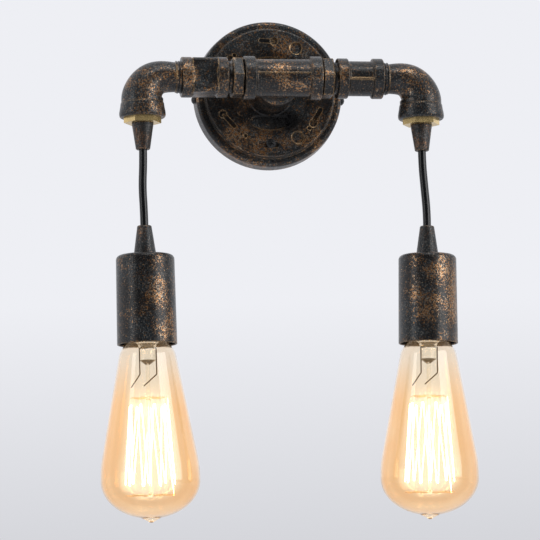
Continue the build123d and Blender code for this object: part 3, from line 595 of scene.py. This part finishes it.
@dataclass(frozen=True)
class SatinPlastic:
    """Moulded plastic or rubber with a faint grain."""

    name: str
    colour: Colour
    roughness: float = 0.42
    depth: float = 0.12
    grain: float = 900.0
    clouds: float = 85.0

    def material(self) -> bpy.types.Material:
        """Build the material."""
        shader = Shader(self.name)
        cloud = shader.noise(self.clouds, 3, 0.6, 0.4)
        lighter = tuple(min(1.0, value * 1.35 + 0.002) for value in self.colour)
        shader.bump(shader.noise(self.grain, 3, 0.6), 0.25, self.depth * MM)
        rough = self.roughness
        return shader.finish(
            Base_Color=shader.mix(shader.steps(cloud, 0.35, 0.7), self.colour, lighter),
            Roughness=shader.steps(cloud, 0.3, 0.7, rough - 0.06, rough + 0.08),
            Specular_IOR_Level=0.5,
        )


@dataclass(frozen=True)
class BareMetal:
    """Plated or drawn metal, with fine brush marks."""

    name: str
    colour: Colour
    roughness: float = 0.25
    stained: float = 0.35
    metallic: float = 1.0
    stain: Colour = linear(60, 48, 30)
    clouds: float = 150.0
    brush: float = 700.0

    def material(self) -> bpy.types.Material:
        """Build the material."""
        shader = Shader(self.name)
        cloud = shader.noise(self.clouds, 4, 0.6)
        brush = shader.noise(self.brush, 2, 0.7, 0.5)
        spots = shader.times(shader.steps(cloud, 0.45, 0.75), self.stained)
        shader.bump(brush, 0.2, 0.1 * MM)
        rough = self.roughness
        return shader.finish(
            Base_Color=shader.mix(spots, self.colour, self.stain),
            Metallic=self.metallic,
            Roughness=shader.steps(brush, 0.3, 0.7, rough - 0.05, rough + 0.12),
        )


@dataclass(frozen=True)
class GlazedCeramic:
    """Glazed lampholder porcelain or the dark glass of a bulb's base."""

    name: str
    colour: Colour
    roughness: float = 0.18
    clouds: float = 120.0
    waves: float = 500.0

    def material(self) -> bpy.types.Material:
        """Build the material."""
        shader = Shader(self.name)
        cloud = shader.noise(self.clouds, 3, 0.6)
        darker = tuple(value * 0.82 for value in self.colour)
        shader.bump(shader.noise(self.waves, 2), 0.1, 0.1 * MM)
        return shader.finish(
            Base_Color=shader.mix(cloud, self.colour, darker),
            Roughness=shader.steps(cloud, 0.3, 0.7, self.roughness, self.roughness + 0.12),
            Coat_Weight=0.3,
        )


@dataclass(frozen=True)
class TintedGlass:
    """Blown glass, deepest in colour along its wall, clear at its neck and warm in its middle.

    Its heights are in millimetres. The glass itself gives off a painted glow of the filament's
    light, faint at the neck and brightest in the halo, where the wall faces the viewer at the
    filament's height.
    """

    name: str
    middle: Colour
    side: Colour
    neck: Colour
    line: Colour
    neck_top: float
    neck_end: float
    glow: Colour
    halo: Colour
    halo_top: float
    halo_low: float
    bowl_top: float
    roughness: float = 0.02

    def tint(self, shader: Shader, height: Socket, turned: Socket, up: Socket) -> Socket:
        """Work out the glass's colour.

        Args:
            shader: The material under construction.
            height: The height above the origin.
            turned: How far the wall turns from the viewer.
            up: How far up the neck the place is.

        Returns:
            The colour.
        """
        cloud = shader.steps(shader.noise(40, 3, 0.5), 0.4, 0.7, 0.0, 0.35)
        tint = shader.mix(shader.steps(turned, 0.03, 0.3), self.middle, self.side)
        tint = shader.mix(cloud, tint, self.middle)
        inner_line = shader.steps(turned, 0.16, 0.3)
        line = shader.times(inner_line, shader.steps(turned, 0.36, 0.5, 1.0, 0.0))
        tint = shader.mix(shader.times(line, 0.6), tint, self.line)
        tint = shader.mix(shader.steps(turned, 0.6, 0.82, 0.0, 0.5), tint, self.neck)
        bowl = shader.steps(height, self.bowl_top * MM, (self.bowl_top - 12.0) * MM, 0.0, 0.5)
        tint = shader.mix(bowl, tint, self.middle)
        tint = shader.mix(shader.times(up, 0.85), tint, self.neck)
        return shader.mix(shader.steps(turned, 0.93, 1.0, 0.0, 0.5), tint, self.line)

    def material(self) -> bpy.types.Material:
        """Build the material."""
        shader = Shader(self.name)
        height = shader.height()
        up = shader.steps(height, self.neck_end * MM, self.neck_top * MM)
        turned = shader.node("ShaderNodeLayerWeight", {"Blend": 0.5}).outputs["Facing"]
        shader.bump(shader.noise(55, 2, 0.4), 0.12, 0.6 * MM)
        # Painted glow: the glass gives off the filament's light itself, in a halo at the filament's
        # height
        span = shader.times(
            shader.steps(height, self.halo_top * MM, (self.halo_top - 14.0) * MM),
            shader.steps(height, self.halo_low * MM, (self.halo_low + 16.0) * MM),
        )
        near = shader.times(span, shader.steps(turned, 0.0, 0.16, 1.0, 0.0))
        neck_glow = tuple(value * 0.25 for value in self.glow)
        return shader.finish(
            Base_Color=self.tint(shader, height, turned, up),
            Roughness=self.roughness,
            IOR=1.45,
            Specular_IOR_Level=0.35,
            Transmission_Weight=1.0,
            Emission_Color=shader.mix(near, shader.mix(up, self.glow, neck_glow), self.halo),
            Emission_Strength=1.0,
        )


@dataclass(frozen=True)
class GlowingWire:
    """The hot carbon wire, whiter in its middle than at its hooks, with heights in millimetres."""

    name: str
    hot: Colour
    cool: Colour
    strength: float
    top: float
    low: float

    def material(self) -> bpy.types.Material:
        """Build the material."""
        shader = Shader(self.name)
        height = shader.height()
        ends = shader.plus(
            shader.steps(height, (self.top - 6) * MM, self.top * MM),
            shader.steps(height, (self.low + 5) * MM, self.low * MM),
        )
        flicker = shader.steps(shader.noise(260, 2), 0.35, 0.65, 0.0, 0.35)
        return shader.finish(
            Base_Color=self.cool,
            Roughness=0.5,
            Emission_Color=shader.mix(shader.plus(ends, flicker), self.hot, self.cool),
            Emission_Strength=self.strength,
        )


# ---- Mesh helpers ----


def placed(name: str, data: bpy.types.ID) -> bpy.types.Object:
    """Put data into the scene, as an object at the origin."""
    made = bpy.data.objects.new(name, data)
    bpy.context.scene.collection.objects.link(made)
    return made


def evaluated(carrier: bpy.types.Object, name: str) -> bpy.types.Mesh:
    """Turn an object with modifiers into a plain mesh.

    Args:
        carrier: The object, which is removed.
        name: The mesh's name.

    Returns:
        The mesh.
    """
    bpy.context.view_layer.update()
    graph = bpy.context.evaluated_depsgraph_get()
    result = bpy.data.meshes.new_from_object(carrier.evaluated_get(graph))
    result.name = name
    bpy.data.objects.remove(carrier)
    return result


def settled(carrier: bpy.types.Object, name: str) -> bpy.types.Object:
    """Turn an object with modifiers into a plain piece.

    Args:
        carrier: The object, which is removed.
        name: The piece's name.

    Returns:
        The piece, smooth but for its sharp edges.
    """
    result = evaluated(carrier, name)
    result.polygons.foreach_set("use_smooth", [True] * len(result.polygons))
    result.set_sharp_from_angle(angle=math.radians(SHARP_ANGLE))
    return placed(name, result)


def along(origin: Point, direction: Point) -> Matrix:
    """A place whose z axis runs along a direction.

    Args:
        origin: The place's origin, in millimetres.
        direction: Where its z axis points.

    Returns:
        The place, in metres.
    """
    turn = Vector(direction).to_track_quat("Z", "Y").to_matrix().to_4x4()
    return Matrix.Translation(Vector(origin) * MM) @ turn


def dress(materials: dict[str, bpy.types.Material], side: Side | None = None) -> None:
    """Give CAD nodes their materials.

    Args:
        materials: The materials by the nodes' names.
        side: The arm that the nodes are on, where their names leave it out.
    """
    for part, material in materials.items():
        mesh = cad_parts[side.body(part) if side else part].data
        mesh.materials.clear()
        mesh.materials.append(material)


def joined_copy(node: str) -> bmesh.types.BMesh:
    """Copy a CAD node's mesh with its triangles joined into whole faces.

    Args:
        node: The node's name.

    Returns:
        The copy.
    """
    shape = bmesh.new()
    shape.from_mesh(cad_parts[node].data)
    bmesh.ops.remove_doubles(shape, verts=shape.verts, dist=MERGE_REACH)
    bmesh.ops.dissolve_limit(
        shape,
        angle_limit=math.radians(FLAT_ANGLE),
        verts=shape.verts,
        edges=shape.edges,
        use_dissolve_boundaries=False,
    )
    return shape


def carrier_of(
    shape: bmesh.types.BMesh, name: str, material: bpy.types.Material
) -> bpy.types.Object:
    """Give a shape an object to carry its modifiers.

    Args:
        shape: The shape, which is freed.
        name: The object's name.
        material: Its material.

    Returns:
        The object.
    """
    mesh = bpy.data.meshes.new(f"{name}_carrier")
    shape.to_mesh(mesh)
    shape.free()
    mesh.materials.append(material)
    return placed(f"{name}_carrier", mesh)


def report(piece: bpy.types.Object) -> None:
    """Log a finished piece."""
    LOG.info("made %s", piece.name)


# ---- Sub-assemblies ----


class Finishes:
    """The materials that the sub-assemblies share."""

    def __init__(self) -> None:
        """Build every shared material."""
        self.iron = AgedIron("aged_iron", patches=BRONZE_AND_HIGHLIGHTS, shadows=SHADED).material()
        self.plate = AgedIron(
            "aged_plate",
            shift=0.4,
            patches=BRONZE_AND_HIGHLIGHTS,
            shadows=SHADED,
            unrubbed=UNRUBBED,
            marks=SLOTS,
        ).material()
        self.grip = AgedIron(
            "worn_grip",
            dark=linear(28, 26, 25),
            bronze=linear(136, 100, 74),
            tan=linear(120, 100, 84),
            cover=0.53,
            grain=900.0,
            shift=3.1,
            roughness=0.36,
            rounding=0.5,
        ).material()
        self.brass = BareMetal("brass", linear(240, 210, 146), 0.22, 0.2, 0.72).material()
        self.steel = BareMetal("bracket_steel", linear(168, 170, 172), 0.34).material()
        self.thread = SatinPlastic("black_thread", linear(14, 14, 16), 0.24, 0.05).material()
        self.cord = SatinPlastic("cord_sheath", linear(10, 11, 14), 0.22, 0.008).material()
        self.black_screw = SatinPlastic("black_screw", linear(17, 18, 21), 0.26, 0.06).material()
        self.core = SatinPlastic("core_insulation", linear(120, 60, 34), 0.36).material()
        self.block = SatinPlastic("terminal_plastic", linear(214, 211, 203), 0.4).material()
        self.ceramic = GlazedCeramic("ceramic", linear(226, 221, 208)).material()


@dataclass
class Casting:
    """A pipe fitting of the CAD frame with the soft edges of sand casting."""

    node: str
    material: bpy.types.Material
    rounding: float = 0.9
    corner: float = 34.0
    segments: int = 3

    def shape(self) -> bmesh.types.BMesh:
        """The fitting's shape before its edges are softened."""
        return joined_copy(self.node)

    def build(self) -> None:
        """Soften the edges of a copy, which stands for the CAD node."""
        name = f"cast_{self.node}"
        carrier = carrier_of(self.shape(), name, self.material)
        soft = carrier.modifiers.new("soft_edges", "BEVEL")
        soft.limit_method = "ANGLE"
        soft.angle_limit = math.radians(self.corner)
        soft.width = self.rounding * MM
        soft.segments = self.segments
        soft.use_clamp_overlap = True
        made = settled(carrier, name)
        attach(made, "wall_unit")
        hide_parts(self.node)
        report(made)


@dataclass
class CastElbow(Casting):
    """A street elbow whose lower bead swells out like a bell."""

    axis: float = ARM_REACH
    core: float = 12.5
    bell: tuple[tuple[float, float], ...] = (
        (-17.0, 1.0),
        (-18.0, 0.935),
        (-19.5, 0.945),
        (-21.0, 0.96),
        (-22.5, 0.98),
        (-24.0, 0.996),
        (-25.5, 1.0),
        (-26.6, 0.985),
        (-27.5, 0.95),
    )

    def swell(self, height: float) -> float:
        """The bell's share of the bead's radius at a height, in millimetres."""
        heights, shares = zip(*reversed(self.bell))
        return float(np.interp(height, heights, shares))

    def shape(self) -> bmesh.types.BMesh:
        """Cut the bead into rings and draw each in to the bell.

        Returns:
            The elbow's shape before its edges are softened.
        """
        shape = joined_copy(self.node)
        for height, _ in self.bell[2:-1]:
            bmesh.ops.bisect_plane(
                shape,
                geom=[*shape.verts, *shape.edges, *shape.faces],
                dist=1e-7,
                plane_co=(0, 0, height * MM),
                plane_no=(0, 0, 1),
            )
        middle = Vector((self.axis, -PIPE_DEPTH)) * MM
        for point in shape.verts:
            out = point.co.xy - middle
            if out.length > self.core * MM and point.co.z < self.bell[0][0] * MM:
                point.co.xy = middle + out * self.swell(point.co.z / MM)
        return shape


@dataclass
class CrossScrew:
    """The black screw in the plate's face, with a cross recess in its domed head."""

    finishes: Finishes
    height: float = -35.0
    crown: float = 17.6
    recess_depth: float = 1.0
    slot_length: float = 4.2
    slot_width: float = 0.95
    turn: float = 28.0

    def cutter(self) -> bpy.types.Object:
        """Make the cross that is cut away.

        Returns:
            The cross, as an object for the Boolean modifier.
        """
        shape = bmesh.new()
        long, short, deep = self.slot_length, self.slot_width, 2 * self.recess_depth
        for size in ((long, deep, short), (short, deep, long)):
            block = bmesh.ops.create_cube(shape, size=1.0)["verts"]
            bmesh.ops.scale(shape, vec=Vector(size) * MM, verts=block)
            bmesh.ops.translate(shape, vec=(0, -self.crown * MM, self.height * MM), verts=block)
        bmesh.ops.rotate(
            shape,
            cent=(0, 0, self.height * MM),
            matrix=Matrix.Rotation(math.radians(self.turn), 3, "Y"),
            verts=shape.verts,
        )
        return carrier_of(shape, "cross_recess", self.finishes.black_screw)

    def build(self) -> None:
        """Cut the recess into a copy of the screw, which stands for the CAD node."""
        name = "cross_face_screw"
        cutter = self.cutter()
        carrier = carrier_of(joined_copy("face_screw"), name, self.finishes.black_screw)
        cut = carrier.modifiers.new("recess", "BOOLEAN")
        cut.object = cutter
        cut.solver = "EXACT"
        cut.use_self = True
        made = settled(carrier, name)
        bpy.data.objects.remove(cutter)
        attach(made, "wall_unit")
        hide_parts("face_screw")
        report(made)


@dataclass
class WallUnit:
    """The plate, its bracket and screws, and the pipe run with both arms."""

    finishes: Finishes
    thread_radius: float = 10.5
    thread_pitch: float = 1.814
    ridge_radius: float = 0.42
    turn_steps: int = 40
    ridge_steps: int = 8
    elbow_thread: tuple[float, float] = (67.9, 71.3)
    nipple_thread: tuple[float, float] = (34.2, 36.8)
    branch_thread: tuple[float, float] = (39.2, 42.3)

    def thread_tree(self) -> GeometryTree:
        """Build the tree that winds a thread.

        Returns:
            The tree, which winds round its z axis.
        """
        tree = GeometryTree("thread")
        turns, radius, height, ridge = map(tree.size, ("Turns", "Radius", "Height", "Ridge Radius"))
        material = tree.size("Material", "NodeSocketMaterial")
        spiral = tree.node(
            "GeometryNodeCurveSpiral",
            {
                "Resolution": self.turn_steps,
                "Rotations": turns,
                "Start Radius": radius,
                "End Radius": radius,
                "Height": height,
            },
        )
        values = {"Resolution": self.ridge_steps, "Radius": ridge}
        profile = tree.node("GeometryNodeCurvePrimitiveCircle", values, mode="RADIUS")
        wound = tree.node(
            "GeometryNodeCurveToMesh",
            {"Curve": spiral.outputs[0], "Profile Curve": profile.outputs[0], "Fill Caps": True},
        )
        tree.close(wound.outputs[0], material)
        return tree

    def thread(
        self, tree: GeometryTree, name: str, origin: Point, direction: Point, length: float
    ) -> None:
        """Wind one visible thread.

        Args:
            tree: The thread's tree.
            name: The piece's name.
            origin: Where it starts, in millimetres.
            direction: Where it runs.
            length: How far, in millimetres.
        """
        made = tree.piece(
            name,
            {
                "Turns": length / self.thread_pitch,
                "Radius": self.thread_radius * MM,
                "Height": length * MM,
                "Ridge Radius": self.ridge_radius * MM,
                "Material": self.finishes.thread,
            },
            along(origin, direction),
        )
        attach(made, "wall_unit")
        report(made)

    def arm(self, side: Side, tree: GeometryTree) -> None:
        """Dress one arm and wind its threads.

        Args:
            side: Which arm.
            tree: The thread's tree.
        """
        finishes = self.finishes
        Casting(side.body("coupling"), finishes.iron).build()
        CastElbow(side.body("elbow"), finishes.iron, axis=side.sign * ARM_REACH).build()
        own = {
            "hexagon_nipple": finishes.iron,
            "gland_nut": finishes.brass,
            "upper_grip": finishes.grip,
            "inner_lead": finishes.cord,
        }
        dress(own, side)
        threads = {"elbow_thread": self.elbow_thread, "nipple_thread": self.nipple_thread}
        for label, (start, end) in threads.items():
            origin = (side.sign * start, -PIPE_DEPTH, 0)
            self.thread(tree, side.body(label), origin, (side.sign, 0, 0), end - start)

    def build(self) -> None:
        """Dress the CAD nodes and wind the visible threads."""
        finishes = self.finishes
        dress(
            {
                "wall_plate": finishes.plate,
                "wall_bracket": finishes.steel,
                "plate_lock_nut": finishes.steel,
                "terminal_screws": finishes.steel,
                "side_screws": finishes.black_screw,
                "plate_nipple": finishes.thread,
                "supply_cores": finishes.core,
                "terminal_block": finishes.block,
            }
        )
        Casting("tee", finishes.iron).build()
        CrossScrew(finishes).build()
        tree = self.thread_tree()
        start, end = self.branch_thread
        self.thread(tree, "branch_thread", (0, -start, 0), (0, -1, 0), end - start)
        for side in Side:
            self.arm(side, tree)


@dataclass
class HangingCord:
    """One short cord between the elbow's grip and the lamp's, in millimetres."""

    side: Side
    finishes: Finishes
    route: tuple[Point, ...]
    diameter: float = 5.4
    length: float = 50.75
    order: int = 3
    steps: int = 12
    ring_steps: int = 8

    def build(self) -> None:
        """Build the cord on one smooth spline through its route."""
        name = self.side.body("cord_line")
        curve = bpy.data.curves.new(name, "CURVE")
        curve.dimensions = "3D"
        spline = curve.splines.new("NURBS")
        spline.points.add(len(self.route) - 1)
        for point, place in zip(spline.points, self.route):
            point.co = (*(value * MM for value in place), 1.0)
        spline.order_u = self.order
        spline.use_endpoint_u = True
        spline.resolution_u = self.steps
        curve.bevel_depth = self.diameter / 2 * MM
        curve.bevel_resolution = self.ring_steps
        curve.materials.append(self.finishes.cord)
        cord = placed(name, curve)
        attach(cord, self.side.body("hanging_cord"))
        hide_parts(self.side.body("cord"))
        report(cord)


@dataclass
class HangingLamp:
    """One lamp cup with its grip, lampholder and contacts."""

    side: Side
    finishes: Finishes
    axis: float

    def cup(self) -> bpy.types.Material:
        """Build the cup's own copy of the aged finish.

        Returns:
            The material.
        """
        x = self.axis
        # More bronze on each cup's right side: partly wear, partly a painted highlight where the
        # key lamp's sheen falls. The right cup's middle patch is its own golden-brown wear.
        bronze_and_highlight = patches(
            (x + 16.0, -84.0, -140.0, 26.0, 0.16),
            (x + 12.0, -82.0, -168.0, 22.0, 0.14),
        )
        if self.side is Side.RIGHT:
            bronze_and_highlight += patches((x - 3.0, -88.0, -150.0, 34.0, 0.16))
        return AgedIron(
            self.side.body("aged_cup"),
            cover=0.6,
            grain=860.0,
            shift=2.0 + self.side.sign * 0.35,
            roughness=0.27,
            patches=bronze_and_highlight,
        ).material()

    def build(self) -> None:
        """Dress the cup and what it holds."""
        finishes = self.finishes
        own = {
            "cup": self.cup(),
            "lower_grip": finishes.grip,
            "lampholder": finishes.ceramic,
            "cup_nut": finishes.steel,
            "centre_contact": finishes.steel,
            "holder_terminals": finishes.steel,
            "screw_shell": finishes.brass,
            "holder_lead": finishes.cord,
        }
        dress(own, self.side)


@dataclass
class PearBulb:
    """One long pear bulb with its cap, stem, wires and filament, in millimetres."""

    side: Side
    finishes: Finishes
    rim_height: float = -178.0
    neck_length: float = 45.0
    filament_top: float = -212.0
    filament_low: float = -277.0
    halo_reach: float = 8.0

    def glass(self) -> bpy.types.Material:
        """Build the amber glass of the bulb.

        Returns:
            The material.
        """
        return TintedGlass(
            self.side.body("amber_glass"),
            middle=(1.0, 0.92, 0.77),
            side=(0.97, 0.73, 0.47),
            neck=(0.98, 0.93, 0.84),
            line=(0.9, 0.6, 0.34),
            neck_top=self.rim_height,
            neck_end=self.rim_height - self.neck_length,
            glow=(0.055, 0.0341, 0.0176),
            halo=(0.13, 0.1, 0.062),
            halo_top=self.filament_top + self.halo_reach,
            halo_low=self.filament_low - self.halo_reach,
            bowl_top=self.filament_low - 1.0,
            roughness=0.025,
        ).material()

    def stem(self) -> bpy.types.Material:
        """Build the clear glass of the stem.

        Returns:
            The material.
        """
        return TintedGlass(
            self.side.body("clear_glass"),
            middle=(1.0, 0.98, 0.93),
            side=(0.9, 0.84, 0.72),
            neck=(0.96, 0.94, 0.9),
            line=(0.8, 0.7, 0.55),
            neck_top=self.filament_top + 6.0,
            neck_end=self.filament_top - 6.0,
            glow=(0.1, 0.086, 0.06),
            halo=(0.3, 0.25, 0.17),
            halo_top=self.filament_top,
            halo_low=self.filament_low,
            bowl_top=self.filament_low - 1.0,
        ).material()

    def wire(self, name: str, hot: Colour, cool: Colour, strength: float) -> bpy.types.Material:
        """Build a glowing wire's material.

        Args:
            name: The material's name on this arm.
            hot: Its glow in the middle.
            cool: Its glow at the hooks.
            strength: How bright it is.

        Returns:
            The material.
        """
        top, low = self.filament_top, self.filament_low
        return GlowingWire(self.side.body(name), hot, cool, strength, top, low).material()

    def build(self) -> None:
        """Dress the glass, the cap and what is inside."""
        name = self.side.body
        own = {
            "bulb_glass": self.glass(),
            "bulb_stem": self.stem(),
            "bulb_filament": self.wire("filament", (1.0, 0.82, 0.55), (1.0, 0.6, 0.26), 8.0),
            "bulb_supports": self.wire("support_wire", (0.9, 0.66, 0.36), (0.8, 0.55, 0.28), 0.3),
            "bulb_leads": BareMetal(name("lead_wire"), linear(96, 78, 56), 0.45).material(),
            "bulb_cap": BareMetal(name("cap_metal"), linear(208, 196, 168), 0.28).material(),
            "bulb_contact": self.finishes.steel,
            "bulb_insulator": GlazedCeramic(name("black_glass"), linear(22, 20, 22)).material(),
        }
        dress(own, self.side)


# ---- Studio ----


@dataclass(frozen=True)
class Lamp:
    """A soft studio lamp, placed in metres."""

    name: str
    place: Point
    width: float
    height: float
    power: float


@dataclass
class Studio:
    """The camera, the pale surroundings and the soft lamps.

    The camera's distance and target are in millimetres, the floor and the lamps in metres.
    """

    azimuth: float = -8.77
    elevation: float = -7.49
    roll: float = -1.18
    distance: float = 2130.0
    target: Point = (-4.71, -30.0, -123.77)
    focal: float = 3167.4
    picture: int = 540
    sensor: float = 36.0
    clip: tuple[float, float] = (0.05, 50.0)
    floor_height: float = -1.7
    floor_radius: float = 7.0
    floor_colour: Colour = linear(225, 226, 230)
    floor_glow: Colour = linear(122, 123, 127)
    high: Colour = linear(238, 239, 244)
    low: Colour = linear(213, 214, 219)
    rise: tuple[float, float] = (0.045, 0.12)
    fill: Colour = (0.45, 0.45, 0.459)
    room: float = 0.06
    room_edge: tuple[float, float] = (-0.85, 0.25)
    aim: Point = (0.0, -0.06, -0.12)
    lamps: tuple[Lamp, ...] = (
        Lamp("key", (1.55, -1.3, 0.3), 1.4, 1.4, 19.0),
        Lamp("fill", (-1.8, -0.9, 0.3), 0.5, 1.2, 4.5),
        Lamp("overhead", (0.2, -0.9, 1.5), 1.2, 0.6, 7.0),
    )

    def back(self) -> Vector:
        """The direction from the object to the camera."""
        turn, rise = math.radians(self.azimuth), math.radians(self.elevation)
        level = math.cos(rise)
        return Vector((math.sin(turn) * level, -math.cos(turn) * level, math.sin(rise)))

    def camera(self) -> None:
        """Stand the camera where the photograph was taken from."""
        back = self.back()
        right = (-back).cross(Vector((0, 0, 1))).normalized()
        up = right.cross(-back)
        roll = math.radians(self.roll)
        tilted_right = right * math.cos(roll) + up * math.sin(roll)
        tilted_up = up * math.cos(roll) - right * math.sin(roll)
        data = bpy.data.cameras.new("camera")
        data.sensor_width = self.sensor
        data.lens = self.sensor * self.focal / self.picture
        data.clip_start, data.clip_end = self.clip
        camera = placed("camera", data)
        place = Matrix((tilted_right, tilted_up, back)).transposed().to_4x4()
        place.translation = (Vector(self.target) + back * self.distance) * MM
        camera.matrix_world = place
        bpy.context.scene.camera = camera

    def world(self) -> None:
        """Show a pale gradient to the camera, gloss and glass, and a plain light to the rest.

        Gloss sees it less bright on the room's side, where the photographer's side of a studio is.
        """
        world = bpy.data.worlds.new("studio")
        world.use_nodes = True
        build = NodeBuilder(world.node_tree)
        direction = build.node("ShaderNodeTexCoord").outputs["Generated"]
        parts = build.node("ShaderNodeSeparateXYZ", {0: direction}).outputs
        start, end = self.rise
        values = {"Value": parts["Z"], "From Min": start, "From Max": end}
        rise = build.node("ShaderNodeMapRange", values).outputs["Result"]
        pale = build.mix(rise, self.low, self.high)
        room = build.steps(parts["Y"], *self.room_edge, self.room, 1.0)
        gloss = build.node("ShaderNodeLightPath").outputs["Is Glossy Ray"]
        shade = build.mix(gloss, pale, room, blend_type="MULTIPLY")
        final = build.mix(build.seen(), self.fill, shade)
        build.give(build.tree.nodes["Background"].inputs["Color"], final)
        bpy.context.scene.world = world

    def floor(self) -> None:
        """Lay a plain pale floor below the light."""
        mesh = bpy.data.meshes.new("floor")
        shape = bmesh.new()
        bmesh.ops.create_circle(shape, cap_ends=True, segments=96, radius=self.floor_radius)
        bmesh.ops.translate(shape, verts=shape.verts, vec=(0, 0, self.floor_height))
        shape.to_mesh(mesh)
        shape.free()
        shader = Shader("pale_floor")
        shader.finish(
            Base_Color=self.floor_colour,
            Roughness=0.7,
            Emission_Color=shader.mix(shader.seen(), (0.0, 0.0, 0.0), self.floor_glow),
            Emission_Strength=1.0,
        )
        mesh.materials.append(shader.material)
        floor = placed("floor", mesh)

    def light(self) -> None:
        """Hang the soft lamps, each turned towards the light."""
        for lamp in self.lamps:
            data = bpy.data.lights.new(lamp.name, "AREA")
            data.shape = "RECTANGLE"
            data.size, data.size_y = lamp.width, lamp.height
            data.energy = lamp.power
            hung = placed(lamp.name, data)
            hung.location = lamp.place
            towards = Vector(self.aim) - Vector(lamp.place)
            hung.rotation_euler = towards.to_track_quat("-Z", "Y").to_euler()

    def build(self) -> None:
        """Set up the whole studio."""
        self.camera()
        self.world()
        self.floor()
        self.light()
        bpy.context.scene.view_settings.view_transform = "Standard"


def main() -> None:
    """Build the studio and every sub-assembly."""
    logging.basicConfig(level=logging.INFO, format="%(message)s")
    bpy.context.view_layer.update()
    Studio().build()
    finishes = Finishes()
    WallUnit(finishes).build()
    for side, course in COURSES.items():
        route = tuple((x, -PIPE_DEPTH, z) for x, z in course)
        HangingCord(side, finishes, route).build()
        HangingLamp(side, finishes, axis=course[-1][0]).build()
        PearBulb(side, finishes).build()


if __name__ == "__main__":
    main()
